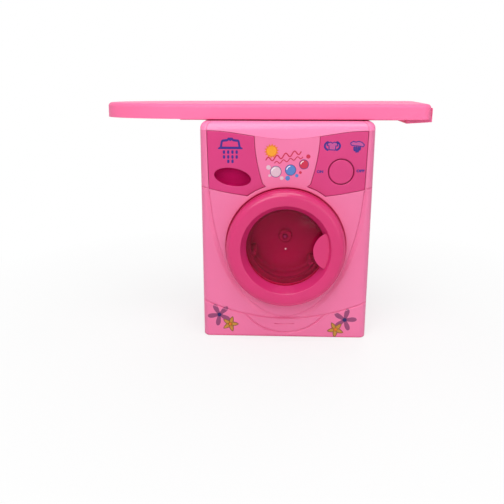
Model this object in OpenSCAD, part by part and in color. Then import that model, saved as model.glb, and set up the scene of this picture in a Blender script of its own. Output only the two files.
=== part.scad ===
// Toy washing machine with an ironing board that lifts off its top.
// Millimetres. The origin is the centre of the base, +Z is up, the front faces -Y.

/* [Cabinet] */
// Width of the cabinet
body_w = 200; // [194:1:212]
// Depth of the cabinet from its front face to its back face
body_d = 130; // [126:1:146]
// Height to the top of the cover
body_h = 262.6; // [260:0.2:276]
// Thickness of the moulded cabinet walls
wall = 2.4; // [2:0.1:2.8]
// Radius of the cabinet's upright edges
edge_r = 8; // [6:0.5:10]
// Depth of the front shell, from the front face to the joint with the rear shell
front_shell_d = 40; // [34:1:46]
// Height of the cover's sides, from the joint line to its top
cover_side_h = 10; // [9:0.5:12]
// Extra drop of the cover's front edge at its middle
cover_drop = 9.5; // [6:0.5:11]
// Width of each upright pillar beside the control panels
pillar_w = 8; // [7:0.5:9]

/* [Door] */
// Height of the door's centre above the floor
door_z = 116; // [113:1:118]
// Outer radius of the door ring
ring_r = 70; // [68:0.5:71]
// How far the door ring stands out of the cabinet's front face
ring_out = 19; // [17:0.5:21]
// Radius of the ring's inner rim, at its front
rim_r = 52.4; // [51.5:0.1:53]
// Radius of the clear window, inside the ring's lip
window_r = 47; // [46:0.5:47.5]
// Wall thickness of the door ring
ring_wall = 2.4; // [2:0.1:2.6]
// Gap between the ring and the round well that it sits in
well_gap = 2; // [1.6:0.1:2.4]
// Depth of the well behind the cabinet's front face
well_depth = 8; // [7.6:0.1:9]
// Distance of the hinge pin from the outside of the ring
hinge_inset = 7; // [6.6:0.1:7.4]
// Distance of the hinge pin in front of the cabinet's front face
hinge_out = 7; // [6.8:0.1:7.6]
// Radius of the hinge pin
hinge_pin_r = 1.5; // [1.3:0.1:1.7]

/* [Drum] */
// Outer radius of the drum
drum_r = 50; // [48:0.5:52]
// Length of the drum
drum_len = 41; // [38:1:43]
// Wall thickness of the drum
drum_wall = 1.6; // [1.4:0.1:2]
// Radius of the porthole in the cabinet's front
porthole_r = 42; // [40:0.5:43]
// Length of the porthole's neck behind the well's floor
neck_len = 8; // [6:0.5:9]
// Height of the three lifters inside the drum
lifter_h = 10; // [8:0.5:12]
// Radius of the drum's shaft
shaft_r = 2.5; // [2.2:0.1:3]

/* [Gear train] */
// Teeth of the drum's gear
drum_teeth = 44; // [42:1:46]
// Teeth of the idler's small gear
idler_small_teeth = 14; // [14:1:16]
// Teeth of the idler's large gear
idler_large_teeth = 36; // [34:1:38]
// Teeth of the motor's pinion
pinion_teeth = 12; // [12:1:14]
// Radius of the motor's case
motor_r = 10; // [9:0.5:11]
// Length of the motor's case
motor_len = 25; // [22:1:27]

/* [Controls] */
// Radius of the flush round dial
dial_r = 14; // [13:0.5:15]
// Distance of the dial's centre from the side of the cabinet
dial_side = 37.6; // [36:0.2:40]
// Height of the dial's centre
dial_z = 206.2; // [204:0.2:210]
// Thickness of the coloured control panels
panel_t = 2.2; // [1.8:0.1:2.4]
// Length of the oval scoop grip
scoop_w = 43; // [38:1:45]
// Height of the oval scoop grip
scoop_h = 20.6; // [18:0.2:23]
// Depth of the oval scoop grip
scoop_depth = 8; // [6:0.5:10]

/* [Ironing board] */
// Length of the ironing board
board_len = 384.5; // [378:0.5:396]
// Width of the ironing board
board_w = 104; // [102:1:112]
// Height of the ironing board's rim
board_h = 17.3; // [15:0.1:20]
// Wall thickness of the ironing board
board_wall = 2.4; // [2:0.1:2.8]
// Length of the tapering nose
nose_len = 177; // [170:1:185]
// How far the square end reaches past the cabinet's right side
board_over = 64.5; // [60:0.5:70]
// Radius of the two pegs that locate the board on the cover
peg_r = 4; // [3.5:0.1:5]
// Length of the locating pegs
peg_len = 10; // [8:0.5:12]

/* [Batteries] */
// Radius of one cell
cell_r = 7.1; // [6.9:0.1:7.3]
// Length of one cell without its button
cell_len = 50; // [48:0.5:51]

/* [Hidden] */
$fn = 72;

// Clearances
cut = 1;              // how far a cutting shape runs past the face that it cuts
run_gap = 0.05;       // radial play of a shaft in its bearing
hold_gap = 0.02;      // radial play of a pin in the holes that hold it
loose_gap = 0.3;      // gap between pieces that move or lift apart
tap_gap = 0.05;       // radial play of a screw's thread in its blind hole

// Colours
body_pink = [0.93, 0.50, 0.67];
cover_pink = [0.99, 0.55, 0.73];
board_pink = [1.0, 0.48, 0.65];
dark_pink = [0.85, 0.27, 0.50];
ring_pink = [0.84, 0.24, 0.46];
window_magenta = [0.55, 0.05, 0.22, 0.6];
drum_pink = [0.80, 0.16, 0.38];
white_plastic = [0.92, 0.92, 0.92];
steel = [0.75, 0.75, 0.78];
brass = [0.80, 0.62, 0.25];

// Cabinet planes
front_y = -body_d / 2;
back_y = body_d / 2;
split_y = front_y + front_shell_d;
side_x = body_w / 2;
seam_z = body_h - cover_side_h;
inner_front_y = front_y + wall;
inner_back_y = back_y - wall;
panel_edge_x = side_x - pillar_w;

// Door and well
well_r = ring_r + well_gap;
well_floor_y = front_y + well_depth;
ring_rear = -4.5;                              // rear edge of the ring, seen from the front face
ring_tip_r = 3.5;                              // rounding of the ring's front outer edge
lip_front = 6;                                 // front of the lip that holds the window
lip_t = 1.6;
lip_rear = lip_front - lip_t;
rim_front = ring_out - 0.8;                    // inner rim, a little behind the outer edge
cone_slope = (rim_r - window_r) / (rim_front - 0.6 - lip_front);
window_t = 2;
window_dome = 3;
seat_r = window_r + 6;                         // outer radius of the window and of its seat
frame_front = lip_rear - window_t;
frame_t = 2.4;
door_screw_r = window_r + 13;                  // circle that the door's screws lie on
door_screw_angles = [45, 135, 225, 315];
hinge_x = -(ring_r - hinge_inset);
hinge_y = front_y - hinge_out;
knuckle_r = 4;
knuckle_half = 10.7;
lug_t = 6;
lug_half = knuckle_half + loose_gap + lug_t;
notch_half = lug_half + 1.5;
catch_x = door_screw_r;
catch_t = 2.4;
catch_half = 5;

// Drum
drum_gap = 3;
drum_front_y = well_floor_y + neck_len + drum_gap;
drum_back_y = drum_front_y + drum_len;
drum_lip = 4;
hub_r = 8;
hub_len = 5;

// Gearbox
gear_module = 1;
addendum = 0.8;
backlash = 0.22;
plate_t = 2.4;
plate_space = 14;
gear_front_y = drum_back_y + 8;                // front face of the front plate
gear_rear_y = gear_front_y + plate_t + plate_space;
gear_stop_y = gear_rear_y + plate_t;
train_y = gear_front_y + plate_t + 1.5;        // front of the drum's gear
fine_w = 5;                                    // width of the drum's gear
coarse_y = train_y + fine_w + 1;
coarse_w = 4;
idler_dist = gear_module * (drum_teeth + idler_small_teeth) / 2;
motor_dist = gear_module * (idler_large_teeth + pinion_teeth) / 2;
idler_dir = -60;
idler_x = idler_dist * cos(idler_dir);
idler_z = door_z + idler_dist * sin(idler_dir);
motor_x = idler_x + motor_dist;
motor_z = idler_z;
axle_r = 1.5;
motor_shaft_r = 1;
post_r = 3.5;
post_clear = 8;
post_left = -(gear_module * (drum_teeth / 2 + 1) - 1);
post_right = motor_x + post_clear + 7;
post_low = motor_z - post_clear - 4;
post_high = door_z + 18;
posts = [[post_left, post_low], [post_right, post_low], [post_left, post_high], [post_right, post_high]];
plate_edge = 6;
gear_screw_r = 1.4;
gear_boss_r = 4.5;
thread_len = 9;
bush_flange = 1.5;

// Case screws
screw_x = side_x - 14;
screw_low = 16;
screw_high = seam_z - 16.6;
case_points = [[-screw_x, screw_low], [screw_x, screw_low], [-screw_x, screw_high], [screw_x, screw_high]];
boss_r = 5;
screw_r = 1.4;
head_r = 2.8;
head_t = 1.6;
shelf_t = 3;
case_thread = 12;
cover_screw_x = 60;
cover_screw_z = seam_z - 9.6;
cover_thread = 7;

// Batteries
cell_pitch = 2 * cell_r + 0.4;
cell_count = 3;
tray_wall = 1.8;
tray_half = cell_len / 2 + 3.5;
tray_low = 18;
tray_high = tray_low + cell_count * cell_pitch + 1.2;
tray_depth = 2 * cell_r + 2.8;
tray_y = inner_back_y - tray_depth;
cell_y = tray_y + 1 + cell_r;
hatch_low = tray_low + 2;
hatch_ear_half = 5;
hatch_ear_top = tray_high + 9;
hatch_screw_z = tray_high + 4.8;
hatch_block_half = 8;
button_r = 2.6;
button_len = 1.2;
contact_t = 0.5;

// Controls
wave_side = panel_edge_x;
control_low = door_z + 58.3;                   // lowest point of the joint below the controls
control_arc_r = 366;
inset_in_top = 37.2;                           // inner edge of a control panel, at its top
inset_in_run = 10.6;                           // how far that edge comes in towards its foot
inset_foot_r = well_r + 4.5;                   // arc of the panel's inner foot about the door
inset_gap = 0.1;
pocket_wall = 2.4;
pad_y = inner_front_y + pocket_wall;
dial_x = side_x - dial_side;
dial_groove = 0.9;
dial_t = panel_t - 0.1;
dial_hub_r = 5;
scoop_x = dial_side - 0.2 - side_x;
scoop_z = dial_z - 7;
scoop_tilt = -9.5;
scoop_wall = 1.6;
cam_r = 9;
cam_t = 2.4;
switch_x = dial_x - cam_r - 3;                  // side of the switch that faces the cam

// Front face lines
groove_w = 0.8;
groove_t = 0.7;
kick_low = 25.2;
kick_r = 233;
flap_low = 6.2;
flap_r = 60;
panel_line_a = 91;
panel_line_b = 173;
panel_line_z = 200;

// Ironing board
board_z = body_h + 1.4;
board_top = board_z + board_h;
board_x1 = side_x + board_over;
board_x0 = board_x1 - board_len;
nose_x = board_x0 + nose_len;
board_corner = 10;
nose_steps = 14;
rail_t = 3;
rail_z = body_h + loose_gap;
rail_top = rail_z + rail_t;
rail_x0 = -side_x - 25.6;
rail_x1 = board_x1 - 27.5;
rail_half = board_w / 2 - 7;
socket_x = 60;
board_boss_r = 4;
board_screws_at = [[-90, -25], [-90, 25], [100, -25], [100, 25]];
rest_x0 = rail_x1 + 0.3;
rest_x1 = board_x1 + 2.6;
rest_half = 40;
rest_wall = 2.1;
rest_top = board_top - 4.5;
rest_screws_at = [[rest_x0 + 12, -28], [rest_x0 + 12, 28]];

// ---------- shapes that repeat ----------

// Solid box between two corners
module block(x0, x1, y0, y1, z0, z1) translate([x0, y0, z0]) cube([x1 - x0, y1 - y0, z1 - z0]);

// Cylinder along Y
module rod_y(x, z, y0, y1, r) translate([x, y0, z]) rotate([-90, 0, 0]) cylinder(h = y1 - y0, r = r);

// Cylinder along Z
module rod_z(x, y, z0, z1, r) translate([x, y, z0]) cylinder(h = z1 - z0, r = r);

// Upright slab from an X-Z outline, between two values of y
module upright(y0, y1) translate([0, y1, 0]) rotate([90, 0, 0]) linear_extrude(height = y1 - y0) children();

// Shape turned about the door's axis; its profile is [radius, distance in front of the cabinet]
module turned(profile) translate([0, front_y, door_z]) rotate([90, 0, 0]) rotate_extrude($fn = 96)
    polygon(profile);

// Rectangle with round corners, centred
module round_rect(w, d, r) {
    square([w - 2 * r, d], center = true);
    square([w, d - 2 * r], center = true);
    for (x = [-1, 1], y = [-1, 1]) translate([x * (w / 2 - r), y * (d / 2 - r)]) circle(r);
}

// Plan of the cabinet, set in by a wall
module cabinet_plan(inset) round_rect(body_w - 2 * inset, body_d - 2 * inset, edge_r - inset);

// Pan-head screw that points along +Y, with its head's top at y
module screw_forward(x, z, y, len, r, hr, ht) {
    rod_y(x, z, y, y + ht, hr);
    rod_y(x, z, y + ht, y + ht + len, r);
}

// Pan-head screw that points along -Y, with its head's top at y
module screw_backward(x, z, y, len, r, hr, ht) {
    rod_y(x, z, y - ht, y, hr);
    rod_y(x, z, y - ht - len, y - ht, r);
}

// Outline points on an arc about a centre
function arc_points(cx, cy, r, a0, a1, n) =
    [for (i = [0:n]) let (a = a0 + (a1 - a0) * i / n) [cx + r * cos(a), cy + r * sin(a)]];

// Lower edge of the cover's front: a wave, lowest in the middle
function wave_z(x) = seam_z - cover_drop * (1 + cos(180 * min(abs(x), wave_side) / wave_side)) / 2;

// Curved joint below the control panels
function control_foot_z(x) = control_low + x * x / (2 * control_arc_r);

// Inner edge of a control panel at height z
function inset_inner_x(z) =
    let (span = wave_z(inset_in_top) - (door_z + 72.6), drop = wave_z(inset_in_top) - z)
    inset_in_top - inset_in_run * pow(max(0, drop) / span, 1.8);

// Outline of the right control panel, made smaller all round by gap and raised at its top by lift
function inset_outline(gap, lift = 0) = concat(
    [for (i = [0:8]) let (x = inset_in_top + (panel_edge_x - inset_in_top) * i / 8)
        [min(x + gap, panel_edge_x - gap), wave_z(x) - gap + lift]],
    [[panel_edge_x - 1.5 - gap, control_foot_z(panel_edge_x) + gap]],
    [for (i = [1:6]) let (x = panel_edge_x - (panel_edge_x - foot_corner_x) * i / 6)
        [x + gap / 2, control_foot_z(x) + gap]],
    arc_points(0, door_z, inset_foot_r + 1.5 * gap, foot_start_a + 1.5, foot_end_a - 0.5, 5),
    [for (i = [1:7]) let (z = foot_end_z + (wave_z(inset_in_top) - foot_end_z) * i / 8)
        [inset_inner_x(z) + gap, z]]);
foot_start_a = asin((control_low + 2.6 - door_z) / inset_foot_r);
foot_corner_x = inset_foot_r * cos(foot_start_a);
foot_end_z = door_z + 72.6;
foot_end_a = asin((foot_end_z - door_z) / inset_foot_r) - 0.6;

// Angle of an involute at radius r, in degrees
function involute_angle(base_r, r) = let (a = acos(min(1, base_r / r))) tan(a) * 180 / PI - a;

// Outline of a spur gear with its first tooth on the X axis
function gear_outline(teeth) =
    let (m = gear_module, pitch_r = m * teeth / 2, base_r = pitch_r * cos(20),
         root_r = pitch_r - m * (addendum + 0.25), tip_r = pitch_r + m * addendum,
         half_pitch = 90 / teeth - backlash / 2 / pitch_r * 180 / PI + involute_angle(base_r, pitch_r),
         low_r = max(root_r, base_r), n = 4,
         radii = concat(root_r < base_r ? [root_r] : [],
                        [for (i = [0:n]) low_r + (tip_r - low_r) * i / n]),
         half = [for (r = radii) half_pitch - involute_angle(base_r, max(r, base_r))],
         last = len(radii) - 1)
    [for (t = [0:teeth - 1]) let (c = 360 * t / teeth)
        each concat([for (i = [0:last]) radii[i] * [cos(c - half[i]), sin(c - half[i])]],
                    [for (i = [last:-1:0]) radii[i] * [cos(c + half[i]), sin(c + half[i])]])];

// Gear on an axis along Y, turned by phase, with a bore
module gear(x, z, y0, y1, teeth, phase, bore) difference() {
    translate([x, 0, z]) upright(y0, y1) rotate(phase) polygon(gear_outline(teeth));
    rod_y(x, z, y0 - cut, y1 + cut, bore);
}

// ---------- cabinet ----------

// Groove along a circle in the front face, kept inside an X-Z window
module face_groove(cx, cz, r, x0, x1, z0, z1) upright(front_y - cut, front_y + groove_t) intersection() {
    translate([cx, cz]) difference() {
        circle(r + groove_w / 2, $fn = 180);
        circle(r - groove_w / 2, $fn = 180);
    }
    translate([x0, z0]) square([x1 - x0, z1 - z0]);
}

// Raised-panel line: the lower half of a tall ellipse, drawn as a narrow groove
function panel_line(grow) = [for (i = [0:48]) let (a = 180 + 180 * i / 48)
    [(panel_line_a + grow) * cos(a), panel_line_z + (panel_line_b + grow) * sin(a)]];

// Point on the joint line across a pillar, just outside the control panel
function pillar_line_point(i, up) =
    let (x = panel_edge_x - 0.4 + (pillar_w + 1) * i / 4) [x, control_foot_z(x) + up];

// Outline above the cover's wavy front edge
function above_wave() = concat(
    [for (i = [-16:16]) let (x = wave_side * i / 16) [x, wave_z(x)]],
    [[wave_side, body_h + cut], [-wave_side, body_h + cut]]);

module front_panel() color(body_pink) difference() {
    union() {
        difference() {
            linear_extrude(height = seam_z) cabinet_plan(0);
            translate([0, 0, wall]) linear_extrude(height = body_h) cabinet_plan(wall);
            block(-side_x - cut, side_x + cut, split_y, back_y + cut, -cut, body_h);
        }
        rod_y(0, door_z, front_y, well_floor_y + wall, well_r + wall);
        rod_y(0, door_z, front_y + cut, well_floor_y + neck_len, porthole_r + wall);
        for (s = [-1, 1]) block(min(s * 25, s * (panel_edge_x + 2)), max(s * 25, s * (panel_edge_x + 2)),
            inner_front_y - cut / 2, pad_y, control_low - 4, wave_z(0) + 1);
        for (p = case_points) rod_y(p[0], p[1], front_y + wall / 2, split_y, boss_r);
    }
    rod_y(0, door_z, front_y - cut, well_floor_y, well_r);
    rod_y(0, door_z, front_y - cut, well_floor_y + neck_len + cut, porthole_r);
    upright(front_y - cut, inner_front_y) polygon(above_wave());
    for (s = [0, 1]) mirror([s, 0, 0])
        upright(front_y - cut, front_y + panel_t + inset_gap) polygon(inset_outline(0, cut));
    translate([scoop_x, 0, scoop_z]) upright(front_y, pad_y + cut) rotate(scoop_tilt)
        polygon(oval(scoop_w / 2 + scoop_wall + loose_gap, scoop_h / 2 + scoop_wall + loose_gap));
    rod_y(dial_x, dial_z, front_y, pad_y + cut, dial_hub_r + run_gap);
    for (p = case_points) rod_y(p[0], p[1], split_y - case_thread, split_y + cut, screw_r + tap_gap);
    block(catch_x - catch_t, catch_x + catch_t + 1.6, well_floor_y - cut, well_floor_y + wall + cut,
        door_z - catch_half - 1, door_z + catch_half + 1);
    face_groove(0, kick_low + kick_r, kick_r, 2 - side_x, side_x - 2, 0, 60);
    face_groove(0, flap_low + flap_r, flap_r, -48, 48, 0, 29.5);
    block(-13, 13, front_y - cut, front_y + 1.2, 15.5, 18.5);
    upright(front_y - cut, front_y + groove_t) difference() {
        polygon(panel_line(groove_w / 2));
        polygon(concat(panel_line(-groove_w / 2), [[0, panel_line_z + cut]]));
        translate([-side_x, control_low]) square([body_w, body_h]);
    }
    for (s = [0, 1]) mirror([s, 0, 0]) upright(front_y - cut, front_y + groove_t)
        polygon(concat([for (i = [0:4]) pillar_line_point(i, 0)],
            [for (i = [4:-1:0]) pillar_line_point(i, groove_w)]));
}

// Two hinge lugs that stand on the well's floor and hold the pin
module hinge_lugs() color(body_pink) difference() {
    for (s = [-1, 1]) {
        low = door_z + (s > 0 ? knuckle_half + loose_gap : -lug_half);
        block(hinge_x - knuckle_r, hinge_x + knuckle_r, hinge_y, well_floor_y + wall / 2, low, low + lug_t);
        rod_z(hinge_x, hinge_y, low, low + lug_t, knuckle_r);
    }
    rod_z(hinge_x, hinge_y, door_z - lug_half - cut, door_z + lug_half + cut, hinge_pin_r + hold_gap);
}

// Ellipse as a polygon
function oval(a, b) = [for (i = [0:47]) [a * cos(7.5 * i), b * sin(7.5 * i)]];

module hinge_pin() color(steel) rod_z(hinge_x, hinge_y, door_z - lug_half, door_z + lug_half, hinge_pin_r);

module rear_housing() color(body_pink) difference() {
    union() {
        difference() {
            linear_extrude(height = seam_z) cabinet_plan(0);
            translate([0, 0, wall]) linear_extrude(height = body_h) cabinet_plan(wall);
            block(-side_x - cut, side_x + cut, front_y - cut, split_y, -cut, body_h);
        }
        for (p = case_points) rod_y(p[0], p[1], split_y, back_y - wall / 2, boss_r);
        for (p = posts) rod_y(p[0], p[1], gear_stop_y, back_y - wall / 2, gear_boss_r);
        block(-hatch_block_half, hatch_block_half, inner_back_y - 10, back_y - wall / 2,
            tray_high + tray_wall + 0.2, hatch_ear_top + 4);
    }
    for (p = case_points) {
        rod_y(p[0], p[1], split_y - cut, back_y, screw_r + loose_gap);
        rod_y(p[0], p[1], split_y + shelf_t, back_y + cut, head_r + loose_gap);
    }
    for (p = posts)
        rod_y(p[0], p[1], gear_stop_y - cut, gear_stop_y + thread_len + 2, gear_screw_r + tap_gap);
    for (s = [-1, 1]) {
        rod_y(s * cover_screw_x, cover_screw_z, inner_back_y - cut, back_y + cut, screw_r + loose_gap);
        rod_y(s * cover_screw_x, cover_screw_z, back_y - head_t, back_y + cut, head_r + loose_gap);
    }
    block(-tray_half, tray_half, inner_back_y - cut, back_y + cut, hatch_low, tray_high);
    block(-hatch_ear_half - loose_gap, hatch_ear_half + loose_gap, inner_back_y, back_y + cut,
        tray_high - cut, hatch_ear_top + loose_gap);
    rod_y(0, hatch_screw_z, inner_back_y - 8.5, inner_back_y + cut, screw_r - 0.3 + tap_gap);
}

// Solid block of the cover's outside, or of its hollow when set in by a wall
module cover_block(inset) {
    round_r = cover_side_h - inset;
    intersection() {
        linear_extrude(height = body_h - inset) cabinet_plan(inset);
        translate([-side_x, 0, 0]) rotate([90, 0, 90]) linear_extrude(height = body_w) union() {
            translate([front_y + inset, 0]) square([body_d - 2 * inset, seam_z]);
            translate([front_y + cover_side_h, 0])
                square([body_d - 2 * cover_side_h, body_h - inset]);
            translate([front_y + cover_side_h, seam_z]) circle(round_r);
            translate([back_y - cover_side_h, seam_z]) circle(round_r);
        }
        upright(front_y, back_y) union() {
            translate([-side_x + inset, 0]) square([body_w - 2 * inset, seam_z + 2.4]);
            translate([-side_x + 7.6, 0]) square([body_w - 15.2, body_h - inset]);
            for (s = [-1, 1]) translate([s * (side_x - 7.6), body_h - 7.6]) circle(7.6 - inset);
        }
    }
}

module top_cover() color(cover_pink) difference() {
    union() {
        difference() {
            cover_block(0);
            translate([0, 0, -cut]) difference() {
                block(-side_x - cut, side_x + cut, inner_front_y, back_y + cut, 0, seam_z + cut);
                block(-side_x - 2 * cut, side_x + 2 * cut, inner_front_y + cut, back_y + 2 * cut,
                    seam_z + cut, body_h);
            }
            upright(front_y - cut, inner_front_y + cut) difference() {
                translate([-side_x - cut, -cut]) square([body_w + 2 * cut, seam_z + cut]);
                polygon(above_wave());
            }
            cover_block(wall);
        }
        intersection() {
            cover_block(0.4);
            union() {
                block(-18, 18, inner_front_y + 0.2, inner_front_y + wall, seam_z - 16, body_h);
                for (s = [-1, 1]) block(s * cover_screw_x - 6, s * cover_screw_x + 6, inner_back_y - 4.2,
                    inner_back_y - 0.2, cover_screw_z - 6, body_h);
            }
        }
        for (s = [-1, 1]) rod_z(s * socket_x, 0, body_h - peg_len - 1, body_h - wall / 2,
            peg_r + loose_gap + wall);
    }
    for (s = [-1, 1]) rod_z(s * socket_x, 0, body_h - peg_len - 2, body_h + cut, peg_r + loose_gap);
    for (s = [-1, 1])
        rod_y(s * cover_screw_x, cover_screw_z, inner_back_y - 5, inner_back_y, screw_r + tap_gap);
}

module left_control_panel() color(dark_pink) {
    difference() {
        union() {
            mirror([1, 0, 0]) upright(front_y, front_y + panel_t) polygon(inset_outline(inset_gap));
            translate([scoop_x, 0, scoop_z]) upright(front_y + 0.4, front_y + scoop_depth + scoop_wall)
                rotate(scoop_tilt) polygon(oval(scoop_w / 2 + scoop_wall, scoop_h / 2 + scoop_wall));
        }
        translate([scoop_x, 0, scoop_z]) upright(front_y - cut, front_y + scoop_depth)
            rotate(scoop_tilt) polygon(oval(scoop_w / 2, scoop_h / 2));
    }
}

module right_control_panel() color(dark_pink) difference() {
    upright(front_y, front_y + panel_t) polygon(inset_outline(inset_gap));
    rod_y(dial_x, dial_z, front_y - cut, front_y + panel_t + cut, dial_r + dial_groove);
}

module case_screws() color(steel) for (p = case_points)
    screw_backward(p[0], p[1], split_y + shelf_t + head_t, shelf_t + case_thread - 1,
        screw_r, head_r, head_t);

module cover_screws() color(steel) for (s = [-1, 1])
    screw_backward(s * cover_screw_x, cover_screw_z, back_y, wall - head_t + 4.4, screw_r, head_r, head_t);

// ---------- gearbox ----------

module plate_blank(y0, y1) block(post_left - plate_edge, post_right + plate_edge, y0, y1,
    post_low - plate_edge, post_high + plate_edge);

module gearbox_front_plate() color(white_plastic) difference() {
    union() {
        plate_blank(gear_front_y, gear_front_y + plate_t);
        for (p = posts) rod_y(p[0], p[1], gear_front_y + plate_t / 2, gear_rear_y, post_r);
    }
    for (p = posts) rod_y(p[0], p[1], gear_front_y - cut, gear_rear_y + cut, gear_screw_r + tap_gap);
    rod_y(0, door_z, gear_front_y - cut, gear_front_y + plate_t + cut, shaft_r + 2 + hold_gap);
    rod_y(idler_x, idler_z, gear_front_y - cut, gear_front_y + plate_t + cut, axle_r + hold_gap);
}

module gearbox_rear_plate() color(white_plastic) difference() {
    plate_blank(gear_rear_y, gear_stop_y);
    for (p = posts) rod_y(p[0], p[1], gear_rear_y - cut, gear_stop_y + cut, gear_screw_r + tap_gap);
    rod_y(0, door_z, gear_rear_y - cut, gear_stop_y + cut, shaft_r + run_gap);
    rod_y(idler_x, idler_z, gear_rear_y - cut, gear_stop_y + cut, axle_r + hold_gap);
    rod_y(motor_x, motor_z, gear_rear_y - cut, gear_stop_y + cut, 3 + hold_gap);
    for (s = [-1, 1]) rod_y(motor_x + s * (motor_r + 5), motor_z, gear_rear_y - cut, gear_stop_y + cut,
        1.1 + tap_gap);
}

module gearbox_screws() color(steel) for (p = posts)
    screw_forward(p[0], p[1], gear_front_y - head_t, gear_stop_y - gear_front_y + thread_len,
        gear_screw_r, head_r, head_t);

module drum_bush() color(brass) difference() {
    union() {
        rod_y(0, door_z, gear_front_y - bush_flange, gear_front_y, shaft_r + 4);
        rod_y(0, door_z, gear_front_y - cut / 2, gear_front_y + plate_t, shaft_r + 2);
    }
    rod_y(0, door_z, gear_front_y - bush_flange - cut, gear_front_y + plate_t + cut, shaft_r + run_gap);
}

module idler_axle() color(steel) rod_y(idler_x, idler_z, gear_front_y, gear_stop_y, axle_r);

module motor() color(steel) difference() {
    union() {
        intersection() {
            rod_y(motor_x, motor_z, gear_stop_y, gear_stop_y + motor_len, motor_r);
            block(motor_x - motor_r, motor_x + motor_r, gear_stop_y, gear_stop_y + motor_len,
                motor_z - 0.75 * motor_r, motor_z + 0.75 * motor_r);
        }
        rod_y(motor_x, motor_z, gear_rear_y + 0.6, gear_stop_y + cut, 3);
        rod_y(motor_x, motor_z, gear_stop_y + motor_len - cut, gear_stop_y + motor_len + 1.5, 4);
    }
    rod_y(motor_x, motor_z, gear_rear_y - cut, gear_stop_y + 8, motor_shaft_r + run_gap);
}

// Saddle strap that holds the motor against the rear plate
module motor_strap() color(steel) {
    y1 = gear_stop_y + 10;
    top_z = motor_z + 0.75 * motor_r;
    difference() {
        union() {
            block(motor_x - motor_r - 1.2, motor_x + motor_r + 1.2, gear_stop_y, y1, top_z, top_z + 1);
            for (s = [-1, 1]) {
                x = motor_x + s * (motor_r + 0.7);
                block(x - 0.5, x + 0.5, gear_stop_y, y1, motor_z - 4, top_z + 1);
                ear = motor_x + s * (motor_r + 4.2);
                block(ear - 4, ear + 4, gear_stop_y, gear_stop_y + 1, motor_z - 4, motor_z + 4);
            }
        }
        for (s = [-1, 1]) rod_y(motor_x + s * (motor_r + 5), motor_z, gear_stop_y - cut, gear_stop_y + 2,
            1.1 + tap_gap);
    }
}

module strap_screws() color(steel) for (s = [-1, 1])
    screw_backward(motor_x + s * (motor_r + 5), motor_z, gear_stop_y + 1 + 1.2, plate_t + 1 - 0.4,
        1.1, 2.1, 1.2);

// ---------- power and switch ----------

module battery_tray() color(white_plastic) difference() {
    block(-tray_half - tray_wall, tray_half + tray_wall, tray_y - tray_wall, inner_back_y,
        tray_low - tray_wall, tray_high + tray_wall);
    block(-tray_half, tray_half, tray_y, inner_back_y + cut, tray_low, tray_high);
}

function cell_z(i) = tray_low + 0.6 + cell_pitch * (i + 0.5);

module batteries() color(brass) for (i = [0:cell_count - 1]) mirror([i % 2, 0, 0]) {
    translate([-cell_len / 2, cell_y, cell_z(i)]) rotate([0, 90, 0]) cylinder(h = cell_len, r = cell_r);
    translate([cell_len / 2 - cut, cell_y, cell_z(i)]) rotate([0, 90, 0])
        cylinder(h = button_len + cut, r = button_r);
}

module battery_contacts() color(steel) for (i = [0:cell_count - 1]) mirror([i % 2, 0, 0]) {
    block(tray_half - contact_t, tray_half, cell_y - 4, cell_y + 4, cell_z(i) - 5, cell_z(i) + 5);
    translate([cell_len / 2 + button_len, cell_y, cell_z(i)]) rotate([0, 90, 0])
        cylinder(h = tray_half - cell_len / 2 - button_len, r = button_r);
    block(-tray_half, -tray_half + contact_t, cell_y - 4, cell_y + 4, cell_z(i) - 5, cell_z(i) + 5);
    translate([-tray_half, cell_y, cell_z(i)]) rotate([0, 90, 0])
        cylinder(h = tray_half - cell_len / 2, r1 = 4, r2 = 2);
}

module battery_door() color(body_pink) difference() {
    union() {
        block(-tray_half + loose_gap, tray_half - loose_gap, back_y - panel_t, back_y,
            hatch_low + loose_gap, tray_high - loose_gap);
        block(-hatch_ear_half, hatch_ear_half, back_y - panel_t, back_y, tray_high - cut, hatch_ear_top);
        for (s = [-1, 1]) {
            block(s * 16 - 3, s * 16 + 3, inner_back_y - 2.2, back_y - 1,
                hatch_low + loose_gap, hatch_low + 1.6);
            block(s * 16 - 3, s * 16 + 3, inner_back_y - 2.2, inner_back_y - 0.2,
                tray_low + 0.3, hatch_low + 1.6);
        }
    }
    rod_y(0, hatch_screw_z, back_y - panel_t - cut, back_y + cut, screw_r);
    rod_y(0, hatch_screw_z, back_y - 1.4, back_y + cut, head_r + 0.1);
}

module battery_door_screw() color(steel)
    screw_backward(0, hatch_screw_z, back_y, 9, screw_r - 0.3, head_r - 0.2, 1.4);

module dial_switch() color(white_plastic) {
    block(switch_x - 9, switch_x, pad_y, pad_y + 8, dial_z - 8, dial_z + 8);
    block(switch_x - cut, switch_x + 0.8, pad_y + 1, pad_y + 3, dial_z - 3, dial_z + 3);
    for (s = [-1, 1]) block(switch_x - 6, switch_x - 3, pad_y + 7, pad_y + 10, dial_z + 4 * s - 0.5,
        dial_z + 4 * s + 0.5);
}

// Wire run along straight lines, with round corners made by balls
module wire(points) for (i = [1:len(points) - 1]) {
    a = points[i - 1];
    b = points[i];
    d = b - a;
    len = norm(d);
    turn = abs(d[0]) > 0.01 ? [0, d[0] > 0 ? 90 : -90, 0]
        : abs(d[1]) > 0.01 ? [d[1] > 0 ? -90 : 90, 0, 0] : [d[2] > 0 ? 0 : 180, 0, 0];
    translate(a) rotate(turn) cylinder(h = len, r = wire_r, $fn = 24);
    translate(b) sphere(r = wire_r, $fn = 24);
}
wire_r = 0.7;
wire_x = screw_x - boss_r - 2;
tray_side = tray_half + tray_wall + wire_r;
motor_end_y = gear_stop_y + motor_len + wire_r;
terminal_y = pad_y + 10 + wire_r;

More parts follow.
